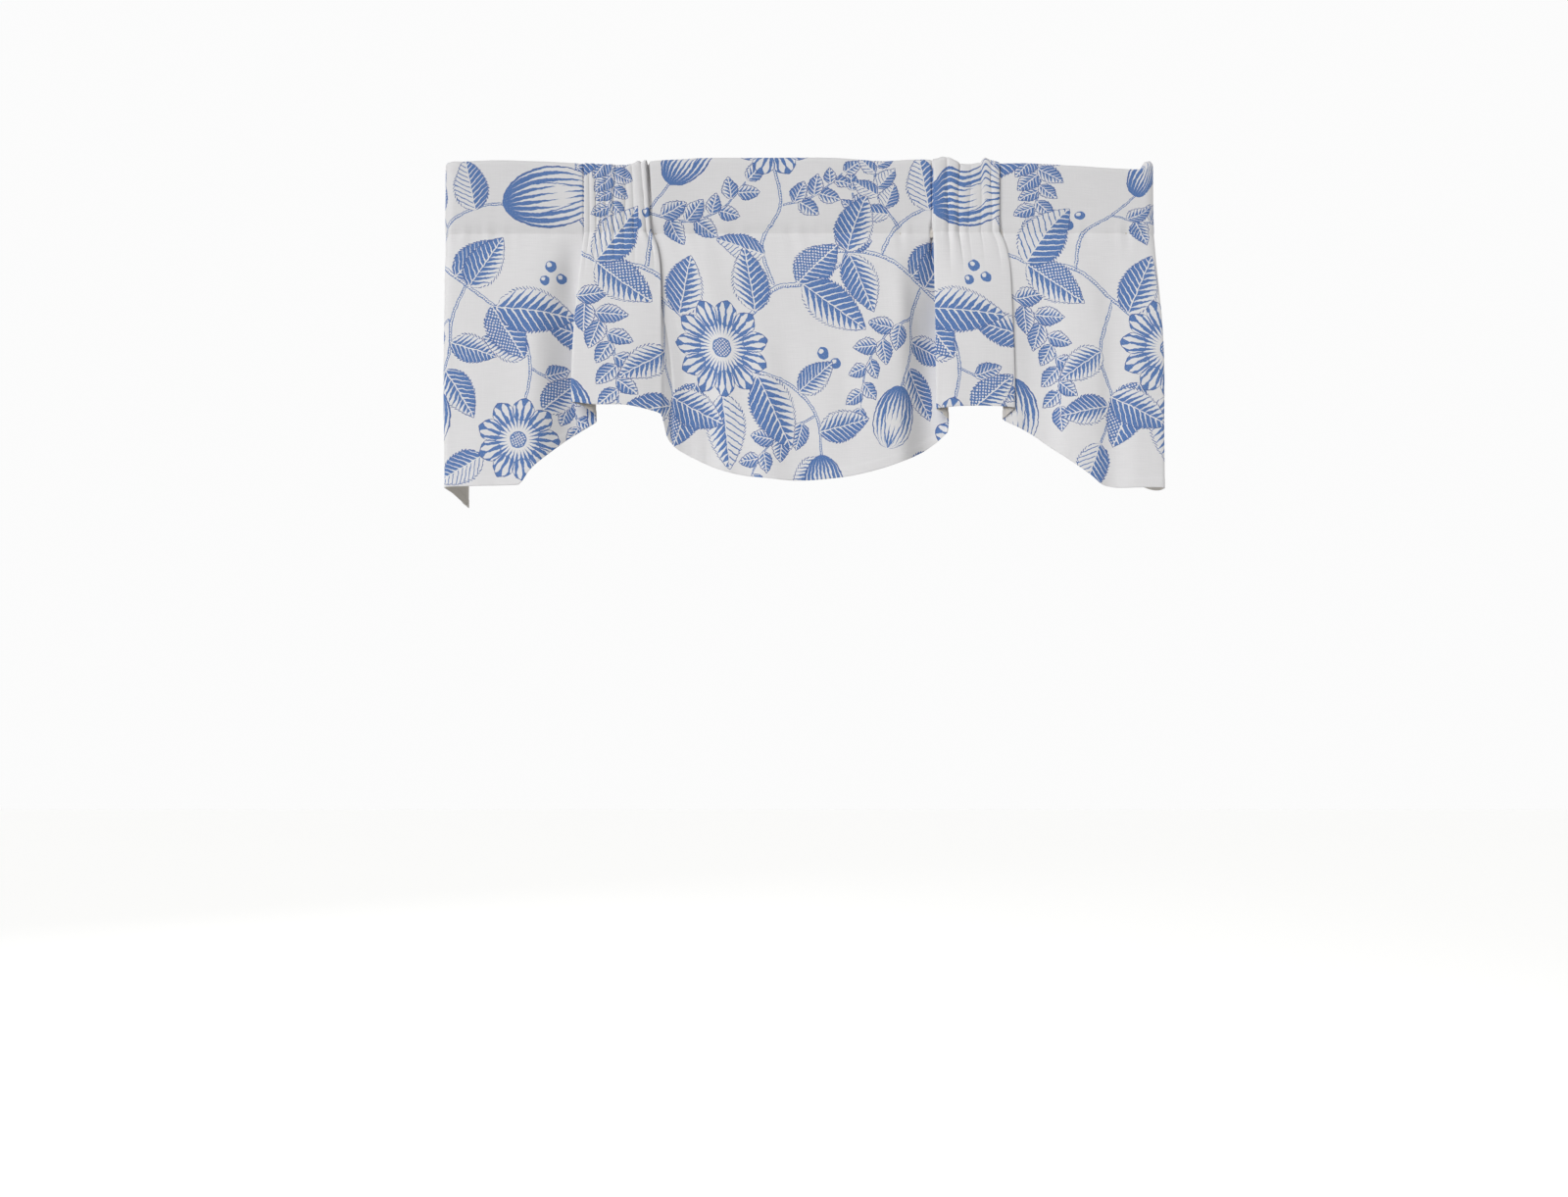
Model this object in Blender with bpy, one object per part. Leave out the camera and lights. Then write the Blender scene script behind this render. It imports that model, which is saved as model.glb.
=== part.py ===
"""A rod-pocket window valance with two gathers and a scalloped hem, in the shape in which it hangs.

World axes: +X to the right as seen from the room, +Y back towards the wall, +Z up. The origin is the
middle of the top edge, at the front face of the pocket. All sizes below are in millimetres.

The cloth is one printed sheet. Its top is turned over into a pocket for a wide flat curtain rod, and
the pocket turns back to the wall at both ends. Under the pocket's stitch line hangs the skirt. It is
laid in two gathers: each is a forward section between two folds that hide cloth behind it. The folds
are tight at the stitch line and open towards the hem.
"""

import math
from typing import NamedTuple

import bmesh
import bpy
import numpy as np

MM = 0.001

# The pocket and the rod's path
FRONT_WIDTH = 945.4
RETURN_DEPTH = 88.0
CORNER_RADIUS = 18.0
POCKET_THICK = 16.0
POCKET_HEIGHT = 101.0
SEAM_THICK = 3.4
CLOTH_THICK = 1.6
NODE_GAP = 0.3

# The skirt
OPENING_HEIGHT = 222.0
RETURN_LEAN = 12.0
RIGHT_FLARE = 12.0
STITCH_SOFTNESS = 1.6
HEM_SOFTNESS = 4.0
SKIRT_ROWS = 11

HALF_WIDTH = FRONT_WIDTH / 2
CORNER_X = HALF_WIDTH - CORNER_RADIUS
CORNER_STEPS = 4
PATH_STEP = 0.25


class Line(NamedTuple):
    """One section's course in plan at one level: it runs to x, with its y at shares along it."""

    x: float
    depths: tuple[tuple[float, float], ...]


class Section(NamedTuple):
    """A section of the cloth between two folds, with its cut width and its courses at two levels."""

    name: str
    cut: float
    columns: int
    stitch: Line
    hem: Line


# From left to right. A tuck runs back under its neighbour, so its x is smaller than the one before.
SECTIONS = (
    Section("left_panel", 186, 16, Line(-267.5, ((0, 0), (0.5, -1.5), (1, 0))),
            Line(-271.6, ((0, 0), (0.3, -4), (0.56, -8.5), (0.87, 13), (1, 14)))),
    Section("left_tuck", 26, 7, Line(-284.5, ((0, -1.2), (1, -1.2))), Line(-301.0, ((0, -1), (1, -7)))),
    Section("left_gather", 103, 28, Line(-195.5, ((0, -5.2), (0.5, -6.2), (1, -5.2))),
            Line(-181.5, ((0, -11), (0.5, -13), (1, -9)))),
    Section("left_flank", 22, 7, Line(-216.0, ((0, -1.2), (1, -1.2))), Line(-167.0, ((0, -8), (1, -1)))),
    Section("centre", 397, 40, Line(194.0, ((0, 0), (0.5, -3), (1, 0))),
            Line(196.0, ((0, -2.4), (0.06, 2), (0.115, 1.2), (0.19, -5.5), (0.25, -4), (0.34, -7),
                         (0.46, -6), (0.6, -7.5), (0.74, -10), (0.82, -9), (0.845, -5.5), (0.92, 11),
                         (0.95, 14), (1, 14.4)))),
    Section("right_tuck", 20, 7, Line(176.2, ((0, -1.2), (1, -1.2))), Line(179.0, ((0, -1), (1, -7)))),
    Section("right_gather", 102, 28, Line(264.2, ((0, -5.2), (0.5, -6.2), (1, -5.2))),
            Line(284.5, ((0, -9), (0.5, -11), (1, -6)))),
    Section("right_flank", 20, 7, Line(247.0, ((0, -1.2), (1, -1.2))), Line(268.0, ((0, -1.6), (1, -1.6)))),
    Section("right_panel", 201, 16, Line(CORNER_X, ((0, 0), (0.5, -1.5), (1, 0))),
            Line(CORNER_X, ((0, 0), (0.1, 0.4), (0.2, 2.6), (0.3, 2.2), (0.42, -2.5), (0.52, -4.5),
                            (0.62, -3.8), (0.72, -1.6), (0.8, -1), (0.9, -2), (1, -1.2)))),
)

# Widths of the small uneven wrinkles across each gather in the pocket, left to right
WRINKLES = {
    "left_gather": (11, 18, 9, 12, 17, 26, 10),
    "right_gather": (17, 14, 13, 21, 13, 10),
}
WRINKLE_DEPTH = 3.4
WRINKLE_FADE = 75.0


class Cut(NamedTuple):
    """A point of the hem's cut: how far along its section, and how far below the top edge."""

    section: str
    share: float
    drop: float


HEM_CUT = (
    Cut("left_return", 0.0, 447.5),
    Cut("left_return", 1.0, 436.5),
    Cut("left_panel", 0.0, 436.0),
    Cut("left_panel", 0.445, 435.5),
    Cut("left_panel", 0.533, 415.5),
    Cut("left_panel", 0.655, 394.6),
    Cut("left_panel", 0.835, 367.5),
    Cut("left_tuck", 0.0, 347.5),
    Cut("left_gather", 0.0, 327.0),
    Cut("left_gather", 0.3, 330.5),
    Cut("left_gather", 0.55, 331.0),
    Cut("left_gather", 0.85, 337.0),
    Cut("left_flank", 0.0, 343.0),
    Cut("left_flank", 0.5, 371.0),
    Cut("centre", 0.0, 382.0),
    Cut("centre", 0.085, 400.0),
    Cut("centre", 0.19, 416.5),
    Cut("centre", 0.3, 424.8),
    Cut("centre", 0.45, 429.5),
    Cut("centre", 0.6, 425.5),
    Cut("centre", 0.73, 416.0),
    Cut("centre", 0.895, 392.0),
    Cut("right_tuck", 0.0, 362.0),
    Cut("right_gather", 0.0, 336.0),
    Cut("right_gather", 0.6, 331.0),
    Cut("right_flank", 0.0, 333.0),
    Cut("right_panel", 0.0, 347.0),
    Cut("right_panel", 0.176, 364.0),
    Cut("right_panel", 0.361, 390.0),
    Cut("right_panel", 0.585, 421.0),
    Cut("right_panel", 0.683, 435.0),
    Cut("right_panel", 0.8, 438.0),
    Cut("right_return", 0.0, 436.5),
    Cut("right_return", 1.0, 417.0),
)

# The top edge dips where the gathers pull it down: x and how far below the highest point
TOP_DIPS = (
    (-472.7, 0.5), (-468, 3.4), (-448, 4.3), (-409, 3.0), (-345, 4.3), (-306, 6.7), (-280, 8.2),
    (-254, 9.7), (-234, 10.8), (-215, 8.1), (-207, 5.7), (-202, 6.7), (-196, 4.3), (-163, 1.7), (-124, 0.0),
    (0, 0.0), (44, 0.4), (109, 4.1), (148, 1.7), (167, 1.7), (180, 3.0), (189, 0.4), (194, 0.4),
    (206, 5.6), (219, 9.5), (238, 6.9), (245, 0.7), (251, 3.0), (264, 6.9), (290, 6.9), (329, 8.3),
    (368, 10.8), (407, 13.4), (446, 14.6), (452, 13.8), (456.2, 11.8), (460.4, 7.7), (463.6, 4.4),
    (467, 1.9), (470, 0.4), (472.7, 0.0),
)

# The pocket's ring, from the seam up its front, over the top and down its back to the seam: how far
# back it lies, as a share of the pocket's thickness, and how far down, as a share of its height
POCKET_RING = (
    (0.0, 1.0), (0.0, 0.84), (0.0, 0.62), (0.0, 0.4), (0.0, 0.2), (0.06, 0.06), (0.3, 0.0),
    (0.6, 0.0), (0.92, 0.06), (1.0, 0.2), (1.0, 0.5), (1.0, 0.82),
)

CLOTH_COLOUR = (0.70, 0.68, 0.65, 1.0)
POCKET_COLOUR = (0.66, 0.64, 0.60, 1.0)
CLOTH_ROUGHNESS = 0.9


def cloth_material(name, colour):
    """A plain woven cotton finish."""
    material = bpy.data.materials.new(name)
    material.use_nodes = True
    shader = material.node_tree.nodes["Principled BSDF"]
    shader.inputs["Base Color"].default_value = colour
    shader.inputs["Roughness"].default_value = CLOTH_ROUGHNESS
    shader.inputs["Metallic"].default_value = 0.0
    return material


def shares(name, count):
    """Shares from 0 to 1 across a section: even over wrinkles, and otherwise closer at its folds."""
    if name in WRINKLES:
        return [i / count for i in range(count + 1)]
    return [(1 - math.cos(math.pi * i / count)) / 2 for i in range(count + 1)]


def end_line(side, level):
    """The return and the corner at one end of the front, from the wall to the front."""
    half = HALF_WIDTH
    back = HALF_WIDTH
    if level == "hem":
        back -= RETURN_LEAN
        if side > 0:
            half += RIGHT_FLARE
            back += RIGHT_FLARE
    points = [(side * back, RETURN_DEPTH), (side * half, CORNER_RADIUS)]
    centre_x = half - CORNER_RADIUS
    for i in range(1, CORNER_STEPS + 1):
        angle = math.pi / 2 * i / CORNER_STEPS
        x = centre_x + CORNER_RADIUS * math.cos(angle)
        y = CORNER_RADIUS - CORNER_RADIUS * math.sin(angle)
        points.append((side * x, y))
    return points


def monotone(at, places, values):
    """A smooth curve through the given values that never overshoots them."""
    at = min(max(at, places[0]), places[-1])
    i = max(0, min(len(places) - 2, int(np.searchsorted(places, at, side="right")) - 1))
    slopes = np.diff(values) / np.diff(places)

    def tangent(j):
        if j == 0 or j == len(places) - 1:
            return slopes[min(j, len(slopes) - 1)]
        before, after = slopes[j - 1], slopes[j]
        if before * after <= 0:
            return 0.0
        return 2 * before * after / (before + after)

    width = places[i + 1] - places[i]
    t = (at - places[i]) / width
    rise = values[i + 1] - values[i]
    start, end = tangent(i) * width, tangent(i + 1) * width
    curve = (start + end - 2 * rise) * t**3 + (3 * rise - 2 * start - end) * t**2 + start * t
    return values[i] + curve


def section_line(start_x, line, steps=48):
    """A section's points in plan, from start_x to line.x."""
    places = [row[0] for row in line.depths]
    depths = [row[1] for row in line.depths]
    points = []
    for i in range(steps + 1):
        share = i / steps
        x = start_x + (line.x - start_x) * share
        points.append((x, monotone(share, places, depths)))
    return points


def resampled(points):
    """The points of a polyline at even steps, and the distance along it of each given point."""
    points = np.array(points, float)
    gaps = np.hypot(*np.diff(points, axis=0).T)
    along = np.concatenate([[0.0], np.cumsum(gaps)])
    even = np.arange(0.0, along[-1], PATH_STEP)
    x = np.interp(even, along, points[:, 0])
    y = np.interp(even, along, points[:, 1])
    return even, x, y, along


def softened(values, radius):
    """Rounds a zigzag by a moving mean that reaches radius to each side, and keeps its two ends."""
    reach = max(1, int(radius / PATH_STEP))
    weights = np.hanning(2 * reach + 3)[1:-1]
    first = 2 * values[0] - values[reach:0:-1]
    last = 2 * values[-1] - values[-2:-reach - 2:-1]
    padded = np.concatenate([first, values, last])
    return np.convolve(padded, weights / weights.sum(), mode="valid")


class Course:
    """The cloth's course in plan at one level, read by the distance along the cut cloth."""

    def __init__(self, level, softness):
        """Joins the returns, the corners and the sections into one soft path."""
        left = end_line(-1, level)
        right = end_line(1, level)[::-1]
        points = list(left)
        marks = [0, 1, len(left) - 1]
        x = left[-1][0]
        for section in SECTIONS:
            line = getattr(section, level)
            if section.name == "right_panel":
                line = line._replace(x=right[0][0])
            points += section_line(x, line)
            marks.append(len(points) - 1)
            x = line.x
        points += right[1:]
        marks += [len(points) - 2, len(points) - 1]
        even, xs, ys, along = resampled(points)
        self.even = even
        self.x = softened(xs, softness)
        self.y = softened(ys, softness)
        self.marks = [along[m] for m in marks]

    def at(self, cloth):
        """The plan point, x and y, at a distance along the cut cloth."""
        path = np.interp(cloth, CUT_MARKS, self.marks)
        return float(np.interp(path, self.even, self.x)), float(np.interp(path, self.even, self.y))

    def frontmost(self, x):
        """The y of the foremost layer at x."""
        crossing = np.nonzero((self.x[:-1] - x) * (self.x[1:] - x) <= 0)[0]
        return float(self.y[crossing].min())


CORNER_CUT = CORNER_RADIUS * math.pi / 2
RETURN_CUT = RETURN_DEPTH - CORNER_RADIUS
CUT_NAMES = ["left_return", "left_corner", *(s.name for s in SECTIONS), "right_corner", "right_return"]
CUT_WIDTHS = [RETURN_CUT, CORNER_CUT, *(s.cut for s in SECTIONS), CORNER_CUT, RETURN_CUT]
CUT_MARKS = [0.0, *np.cumsum(CUT_WIDTHS)]
CUT_COLUMNS = [3, CORNER_STEPS, *(s.columns for s in SECTIONS), CORNER_STEPS, 3]

STITCH = Course("stitch", STITCH_SOFTNESS)
HEM = Course("hem", HEM_SOFTNESS)


def section_span(name):
    """Where a section of the cut cloth begins and ends."""
    i = CUT_NAMES.index(name)
    return CUT_MARKS[i], CUT_MARKS[i + 1]


def hem_drop(cloth):
    """The hem's depth below the top edge at a distance along the cut cloth."""
    places = []
    for cut in HEM_CUT:
        start, end = section_span(cut.section)
        places.append(start + (end - start) * cut.share)
    return monotone(cloth, places, [cut.drop for cut in HEM_CUT])


def top_dip(x):
    """How far the top edge lies below its highest point at x."""
    return monotone(x, [row[0] for row in TOP_DIPS], [row[1] for row in TOP_DIPS])


def wrinkle(cloth):
    """How far a small wrinkle of a gather stands forward at a distance along the cut cloth."""
    for name, widths in WRINKLES.items():
        start, end = section_span(name)
        if start < cloth < end:
            edges = np.concatenate([[0.0], np.cumsum(widths)]) / sum(widths)
            share = (cloth - start) / (end - start)
            i = int(np.searchsorted(edges, share)) - 1
            phase = (share - edges[i]) / (edges[i + 1] - edges[i])
            return WRINKLE_DEPTH * math.sin(math.pi * phase) ** 2
    return 0.0


def skirt_point(cloth, z):
    """A point of the skirt's front face, between its course at the stitch line and at the hem."""
    below = max(0.0, -POCKET_HEIGHT - z)
    opened = math.sin(math.pi / 2 * min(1.0, below / OPENING_HEIGHT))
    stitch_x, stitch_y = STITCH.at(cloth)
    hem_x, hem_y = HEM.at(cloth)
    x = stitch_x + (hem_x - stitch_x) * opened
    y = stitch_y + (hem_y - stitch_y) * opened
    y -= wrinkle(cloth) * max(0.0, 1 - below / WRINKLE_FADE)
    return x, y, z


def pocket_front(x):
    """The y of the pocket's front face at x, with its folds and wrinkles."""
    y = STITCH.frontmost(x)
    for section, before in zip(SECTIONS[1:], SECTIONS):
        if section.name in WRINKLES:
            start_x, end_x = before.stitch.x, section.stitch.x
            if start_x < x < end_x:
                start, end = section_span(section.name)
                y -= wrinkle(start + (end - start) * (x - start_x) / (end_x - start_x))
    return y


def pocket_back(x, y):
    """The point of the pocket's back face behind a point of its front face, square to the rod."""
    side = math.copysign(1.0, x)
    if abs(x) <= CORNER_X + NODE_GAP:
        return x, POCKET_THICK
    if y >= CORNER_RADIUS:
        return x - side * POCKET_THICK, y
    centre = (side * CORNER_X, CORNER_RADIUS)
    across, along = x - centre[0], y - centre[1]
    share = (CORNER_RADIUS - POCKET_THICK) / math.hypot(across, along)
    return centre[0] + across * share, centre[1] + along * share


def sheet_object(name, columns, rows, place, material, closed_ring=False):
    """A sheet of cloth as a grid that place(column, row) lays out, with its thickness behind it."""
    shape = bmesh.new()
    bmesh.ops.create_grid(shape, x_segments=columns, y_segments=rows, size=0.5)
    for vertex in shape.verts:
        column = round((vertex.co.x + 0.5) * columns)
        row = round((vertex.co.y + 0.5) * rows)
        vertex.co = [value * MM for value in place(column, row)]
    if closed_ring:
        bmesh.ops.remove_doubles(shape, verts=shape.verts, dist=0.01 * MM)
    mesh = bpy.data.meshes.new(name)
    shape.to_mesh(mesh)
    shape.free()
    mesh.shade_smooth()
    mesh.materials.append(material)
    piece = bpy.data.objects.new(name, mesh)
    bpy.context.scene.collection.objects.link(piece)
    wall = piece.modifiers.new("cloth_thickness", "SOLIDIFY")
    wall.thickness = CLOTH_THICK * MM
    wall.offset = -1
    return piece


def make_skirt(material):
    """The skirt: one sheet from the stitch line to the hem, with both returns."""
    cloth = [0.0]
    for name, start, width, count in zip(CUT_NAMES, CUT_MARKS, CUT_WIDTHS, CUT_COLUMNS):
        cloth += [start + width * share for share in shares(name, count)[1:]]
    drops = [hem_drop(s) for s in cloth]
    top = POCKET_HEIGHT + NODE_GAP

    def place(column, row):
        share = 1 - row / SKIRT_ROWS
        z = -(top + (drops[column] - top) * share)
        return skirt_point(cloth[column], z)

    return sheet_object("skirt", len(cloth) - 1, SKIRT_ROWS, place, material)


def make_pocket(name, fronts, material):
    """A stretch of the pocket as a tube of cloth round the rod's path, open at both ends."""
    backs = [pocket_back(x, y) for x, y in fronts]
    dips = [top_dip(x) for x, y in fronts]
    seam_share = SEAM_THICK / POCKET_THICK
    ring = [*POCKET_RING, (seam_share, 1.0), POCKET_RING[0]]

    def place(column, row):
        back_share, down_share = ring[row]
        (front_x, front_y), (back_x, back_y) = fronts[column], backs[column]
        x = front_x + (back_x - front_x) * back_share
        y = front_y + (back_y - front_y) * back_share
        z = -dips[column] - (POCKET_HEIGHT - dips[column]) * down_share
        return x, y, z

    return sheet_object(name, len(fronts) - 1, len(ring) - 1, place, material, closed_ring=True)


def front_stretch():
    """The front points of the pocket's long stretch, close together across the gathers."""
    end = CORNER_X - NODE_GAP / 2
    spans = (
        (-end, -290.0, 6), (-290.0, -196.0, 34), (-196.0, 172.0, 10), (172.0, 268.0, 34), (268.0, end, 6),
    )
    places = [-end]
    for start, stop, count in spans:
        places += [start + (stop - start) * i / count for i in range(1, count + 1)]
    return [(x, pocket_front(x)) for x in places]


def end_stretch(side):
    """The front points of the pocket round one corner and back to the wall, left to right."""
    points = end_line(side, "stitch")
    start_x = side * (CORNER_X + NODE_GAP / 2)
    points[-1] = (start_x, points[-1][1])
    return points if side < 0 else points[::-1]


def main():
    """Clears the scene and builds the valance's four pieces."""
    for old in list(bpy.data.objects):
        bpy.data.objects.remove(old, do_unlink=True)
    cloth = cloth_material("printed_cotton_canvas", CLOTH_COLOUR)
    pocket_cloth = cloth_material("printed_cotton_canvas_pocket", POCKET_COLOUR)
    make_pocket("heading_front", front_stretch(), pocket_cloth)
    make_pocket("heading_left_return", end_stretch(-1), pocket_cloth)
    make_pocket("heading_right_return", end_stretch(1), pocket_cloth)
    make_skirt(cloth)


main()
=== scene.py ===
"""Looks of a rod-pocket window valance: one sheet of printed cotton gathered on a wide flat rod.

World axes: +X to the right as seen from the room, +Y back towards the wall, +Z up. The origin is the
middle of the top edge, at the front face of the pocket. Sizes are in millimetres unless a name says
otherwise, and become metres where a mesh, a light or the camera is made.

The cloth is one continuous sheet here: from its hem up the front, over the rod pocket's top, down its
back and to the stitch line. Places on it are given by two distances: `cloth`, across the cut cloth from
its left edge, and `depth`, down the front from the top fold (less than nothing on the pocket's back).
"""

from __future__ import annotations

import logging
import math
from collections.abc import Callable, Sequence
from dataclasses import dataclass
from enum import Enum
from typing import NamedTuple

import bmesh
import bpy
import numpy as np
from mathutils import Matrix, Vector

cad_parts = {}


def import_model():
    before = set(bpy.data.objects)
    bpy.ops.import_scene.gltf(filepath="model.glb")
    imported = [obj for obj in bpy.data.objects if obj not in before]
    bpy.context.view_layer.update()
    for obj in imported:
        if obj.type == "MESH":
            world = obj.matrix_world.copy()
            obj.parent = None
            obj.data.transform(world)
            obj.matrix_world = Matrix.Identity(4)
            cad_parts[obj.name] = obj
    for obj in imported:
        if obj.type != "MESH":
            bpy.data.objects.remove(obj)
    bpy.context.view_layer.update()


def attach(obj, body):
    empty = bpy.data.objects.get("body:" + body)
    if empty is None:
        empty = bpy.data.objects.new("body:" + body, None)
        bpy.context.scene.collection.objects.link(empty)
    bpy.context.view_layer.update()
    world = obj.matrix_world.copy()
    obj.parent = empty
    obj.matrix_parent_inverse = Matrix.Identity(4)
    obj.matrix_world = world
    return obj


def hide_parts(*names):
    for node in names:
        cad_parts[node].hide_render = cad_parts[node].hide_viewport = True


LOG = logging.getLogger("valance")
MM = 0.001
PATH_STEP = 0.25
CAD_NODES = ("skirt", "heading_front", "heading_left_return", "heading_right_return")


# ---------------------------------------------------------------------------------------------------
# Small tools


def linear_colour(code: str) -> tuple[float, float, float, float]:
    """Turns an sRGB hex colour into linear light.

    Args:
        code: The colour as "#RRGGBB".

    Returns:
        Red, green, blue and an alpha of 1, in linear light.
    """
    channels = [int(code[i:i + 2], 16) / 255 for i in (1, 3, 5)]
    linear = [c / 12.92 if c <= 0.04045 else ((c + 0.055) / 1.055) ** 2.4 for c in channels]
    return (*linear, 1.0)


def add_node(
    tree: bpy.types.NodeTree, kind: str, settings: dict | None = None, inputs: dict | None = None
) -> bpy.types.Node:
    """Adds a shader node with its settings, its values and its links.

    Args:
        tree: The node tree that takes the node.
        kind: The node's type in Blender.
        settings: Values for the node's own properties.
        inputs: By input name or number, a socket to link from or a value to set.

    Returns:
        The new node.
    """
    node = tree.nodes.new(kind)
    for name, value in (settings or {}).items():
        setattr(node, name, value)
    for key, value in (inputs or {}).items():
        if isinstance(value, bpy.types.NodeSocket):
            tree.links.new(value, node.inputs[key])
        else:
            node.inputs[key].default_value = value
    return node


def parts_of(tree: bpy.types.NodeTree, vector: bpy.types.NodeSocket) -> bpy.types.NodeOutputs:
    """Splits a vector into its x, y and z."""
    return add_node(tree, "ShaderNodeSeparateXYZ", None, {0: vector}).outputs


def vector_math(tree: bpy.types.NodeTree, operation: str, first: bpy.types.NodeSocket,
                second: object) -> bpy.types.NodeSocket:
    """Works out a vector from another one and from a vector, or from a number where it is scaled."""
    key = "Scale" if operation == "SCALE" else 1
    node = add_node(tree, "ShaderNodeVectorMath", {"operation": operation}, {0: first, key: second})
    return node.outputs[0]


def noise(tree: bpy.types.NodeTree, place: bpy.types.NodeSocket, scale: float, detail: float,
          roughness: float) -> bpy.types.Node:
    """Adds flat noise at a place on the cloth."""
    return add_node(tree, "ShaderNodeTexNoise", {"noise_dimensions": "2D"},
                    {"Vector": place, "Scale": scale, "Detail": detail, "Roughness": roughness})


def matt_material(name: str, colour: str, roughness: float, specular: float) -> bpy.types.Material:
    """Makes a finish of one colour."""
    material = bpy.data.materials.new(name)
    material.use_nodes = True
    shader = material.node_tree.nodes["Principled BSDF"]
    shader.inputs["Base Color"].default_value = linear_colour(colour)
    shader.inputs["Roughness"].default_value = roughness
    shader.inputs["Specular IOR Level"].default_value = specular
    return material


def put_in_scene(name: str, shape: bmesh.types.BMesh) -> bpy.types.Object:
    """Makes a smooth piece of a shape, links it to the scene and frees the shape."""
    mesh = bpy.data.meshes.new(name)
    shape.to_mesh(mesh)
    shape.free()
    mesh.shade_smooth()
    piece = bpy.data.objects.new(name, mesh)
    bpy.context.scene.collection.objects.link(piece)
    return piece


def work_out(tree: bpy.types.NodeTree, known: dict, steps: tuple) -> dict:
    """Adds a row of Math nodes from a table of steps.

    Args:
        tree: The node tree.
        known: Sockets by name. Each step's result is added to it.
        steps: Rows of (result, operation, values...). A value is a number or a known name, and a "!"
            after the operation clamps the result to 0 to 1.

    Returns:
        The same dictionary, with the results.
    """
    for result, operation, *values in steps:
        node = add_node(
            tree,
            "ShaderNodeMath",
            {"operation": operation.rstrip("!"), "use_clamp": operation.endswith("!")},
            {i: known[v] if isinstance(v, str) else v for i, v in enumerate(values)},
        )
        known[result] = node.outputs[0]
    return known


def smooth_step(value: np.ndarray | float, start: float, end: float) -> np.ndarray:
    """Rises softly from 0 at start to 1 at end."""
    share = np.clip((value - start) / (end - start), 0.0, 1.0)
    return share * share * (3 - 2 * share)


def lengths_along(points: np.ndarray) -> np.ndarray:
    """The distance of each point of a line from the line's start."""
    return np.concatenate([[0.0], np.cumsum(np.hypot(*np.diff(points, axis=0).T))])


def bell(away: np.ndarray | float, width: float) -> np.ndarray:
    """A bell curve: 1 in its middle and nearly nothing at twice its width."""
    return np.exp(-((away / width) ** 2))


def softened(values: np.ndarray, radius: float, step: float = PATH_STEP) -> np.ndarray:
    """Rounds a zigzag by a moving mean and keeps its two ends.

    Args:
        values: The values at even steps.
        radius: How far the mean reaches to each side, in millimetres.
        step: The distance between two values.

    Returns:
        The rounded values.
    """
    reach = max(1, int(radius / step))
    weights = np.hanning(2 * reach + 3)[1:-1]
    first = 2 * values[0] - values[reach:0:-1]
    last = 2 * values[-1] - values[-2:-reach - 2:-1]
    return np.convolve(np.concatenate([first, values, last]), weights / weights.sum(), mode="valid")


def soft_curve(at: np.ndarray, places: Sequence[float], values: Sequence[float]) -> np.ndarray:
    """A smooth curve through given values that never overshoots them.

    Args:
        at: Where to read the curve.
        places: The places of the given values, rising.
        values: The given values.

    Returns:
        The curve's values.
    """
    places, values = np.array(places, float), np.array(values, float)
    widths = np.diff(places)
    slopes = np.diff(values) / widths
    product = slopes[:-1] * slopes[1:]
    total = slopes[:-1] + slopes[1:]
    inner = np.where(product > 0, 2 * product / np.where(total == 0, 1, total), 0.0)
    tangents = np.concatenate([slopes[:1], inner, slopes[-1:]])
    at = np.clip(at, places[0], places[-1])
    i = np.clip(np.searchsorted(places, at, side="right") - 1, 0, len(places) - 2)
    t = (at - places[i]) / widths[i]
    rise = values[i + 1] - values[i]
    start, end = tangents[i] * widths[i], tangents[i + 1] * widths[i]
    return values[i] + (start + end - 2 * rise) * t**3 + (3 * rise - 2 * start - end) * t**2 + start * t


def spaced(total: float, spacing: Callable[[np.ndarray], np.ndarray]) -> np.ndarray:
    """Places from 0 to total whose gaps follow a wanted spacing.

    Args:
        total: The length to divide.
        spacing: A function that gives the wanted gap at each of an array of places.

    Returns:
        The places, the two ends among them.
    """
    even = np.arange(0.0, total + PATH_STEP, PATH_STEP)
    even[-1] = total
    density = 1 / spacing(even)
    steps = np.concatenate([[0.0], np.cumsum((density[1:] + density[:-1]) / 2 * np.diff(even))])
    count = max(1, round(steps[-1]))
    return np.interp(np.linspace(0, steps[-1], count + 1), steps, even)


# ---------------------------------------------------------------------------------------------------
# The hang of the cloth


class Level(Enum):
    """The two heights at which the folds' courses are given in plan."""

    STITCH = "stitch"
    HEM = "hem"


class Line(NamedTuple):
    """One section's course in plan at one level: it runs to x, with its y at shares along it."""

    x: float
    depths: tuple[tuple[float, float], ...]


class Section(NamedTuple):
    """A section of the cloth between two folds, with its cut width and its courses at two levels."""

    name: str
    cut: float
    spacing: float
    stitch: Line
    hem: Line


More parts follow.
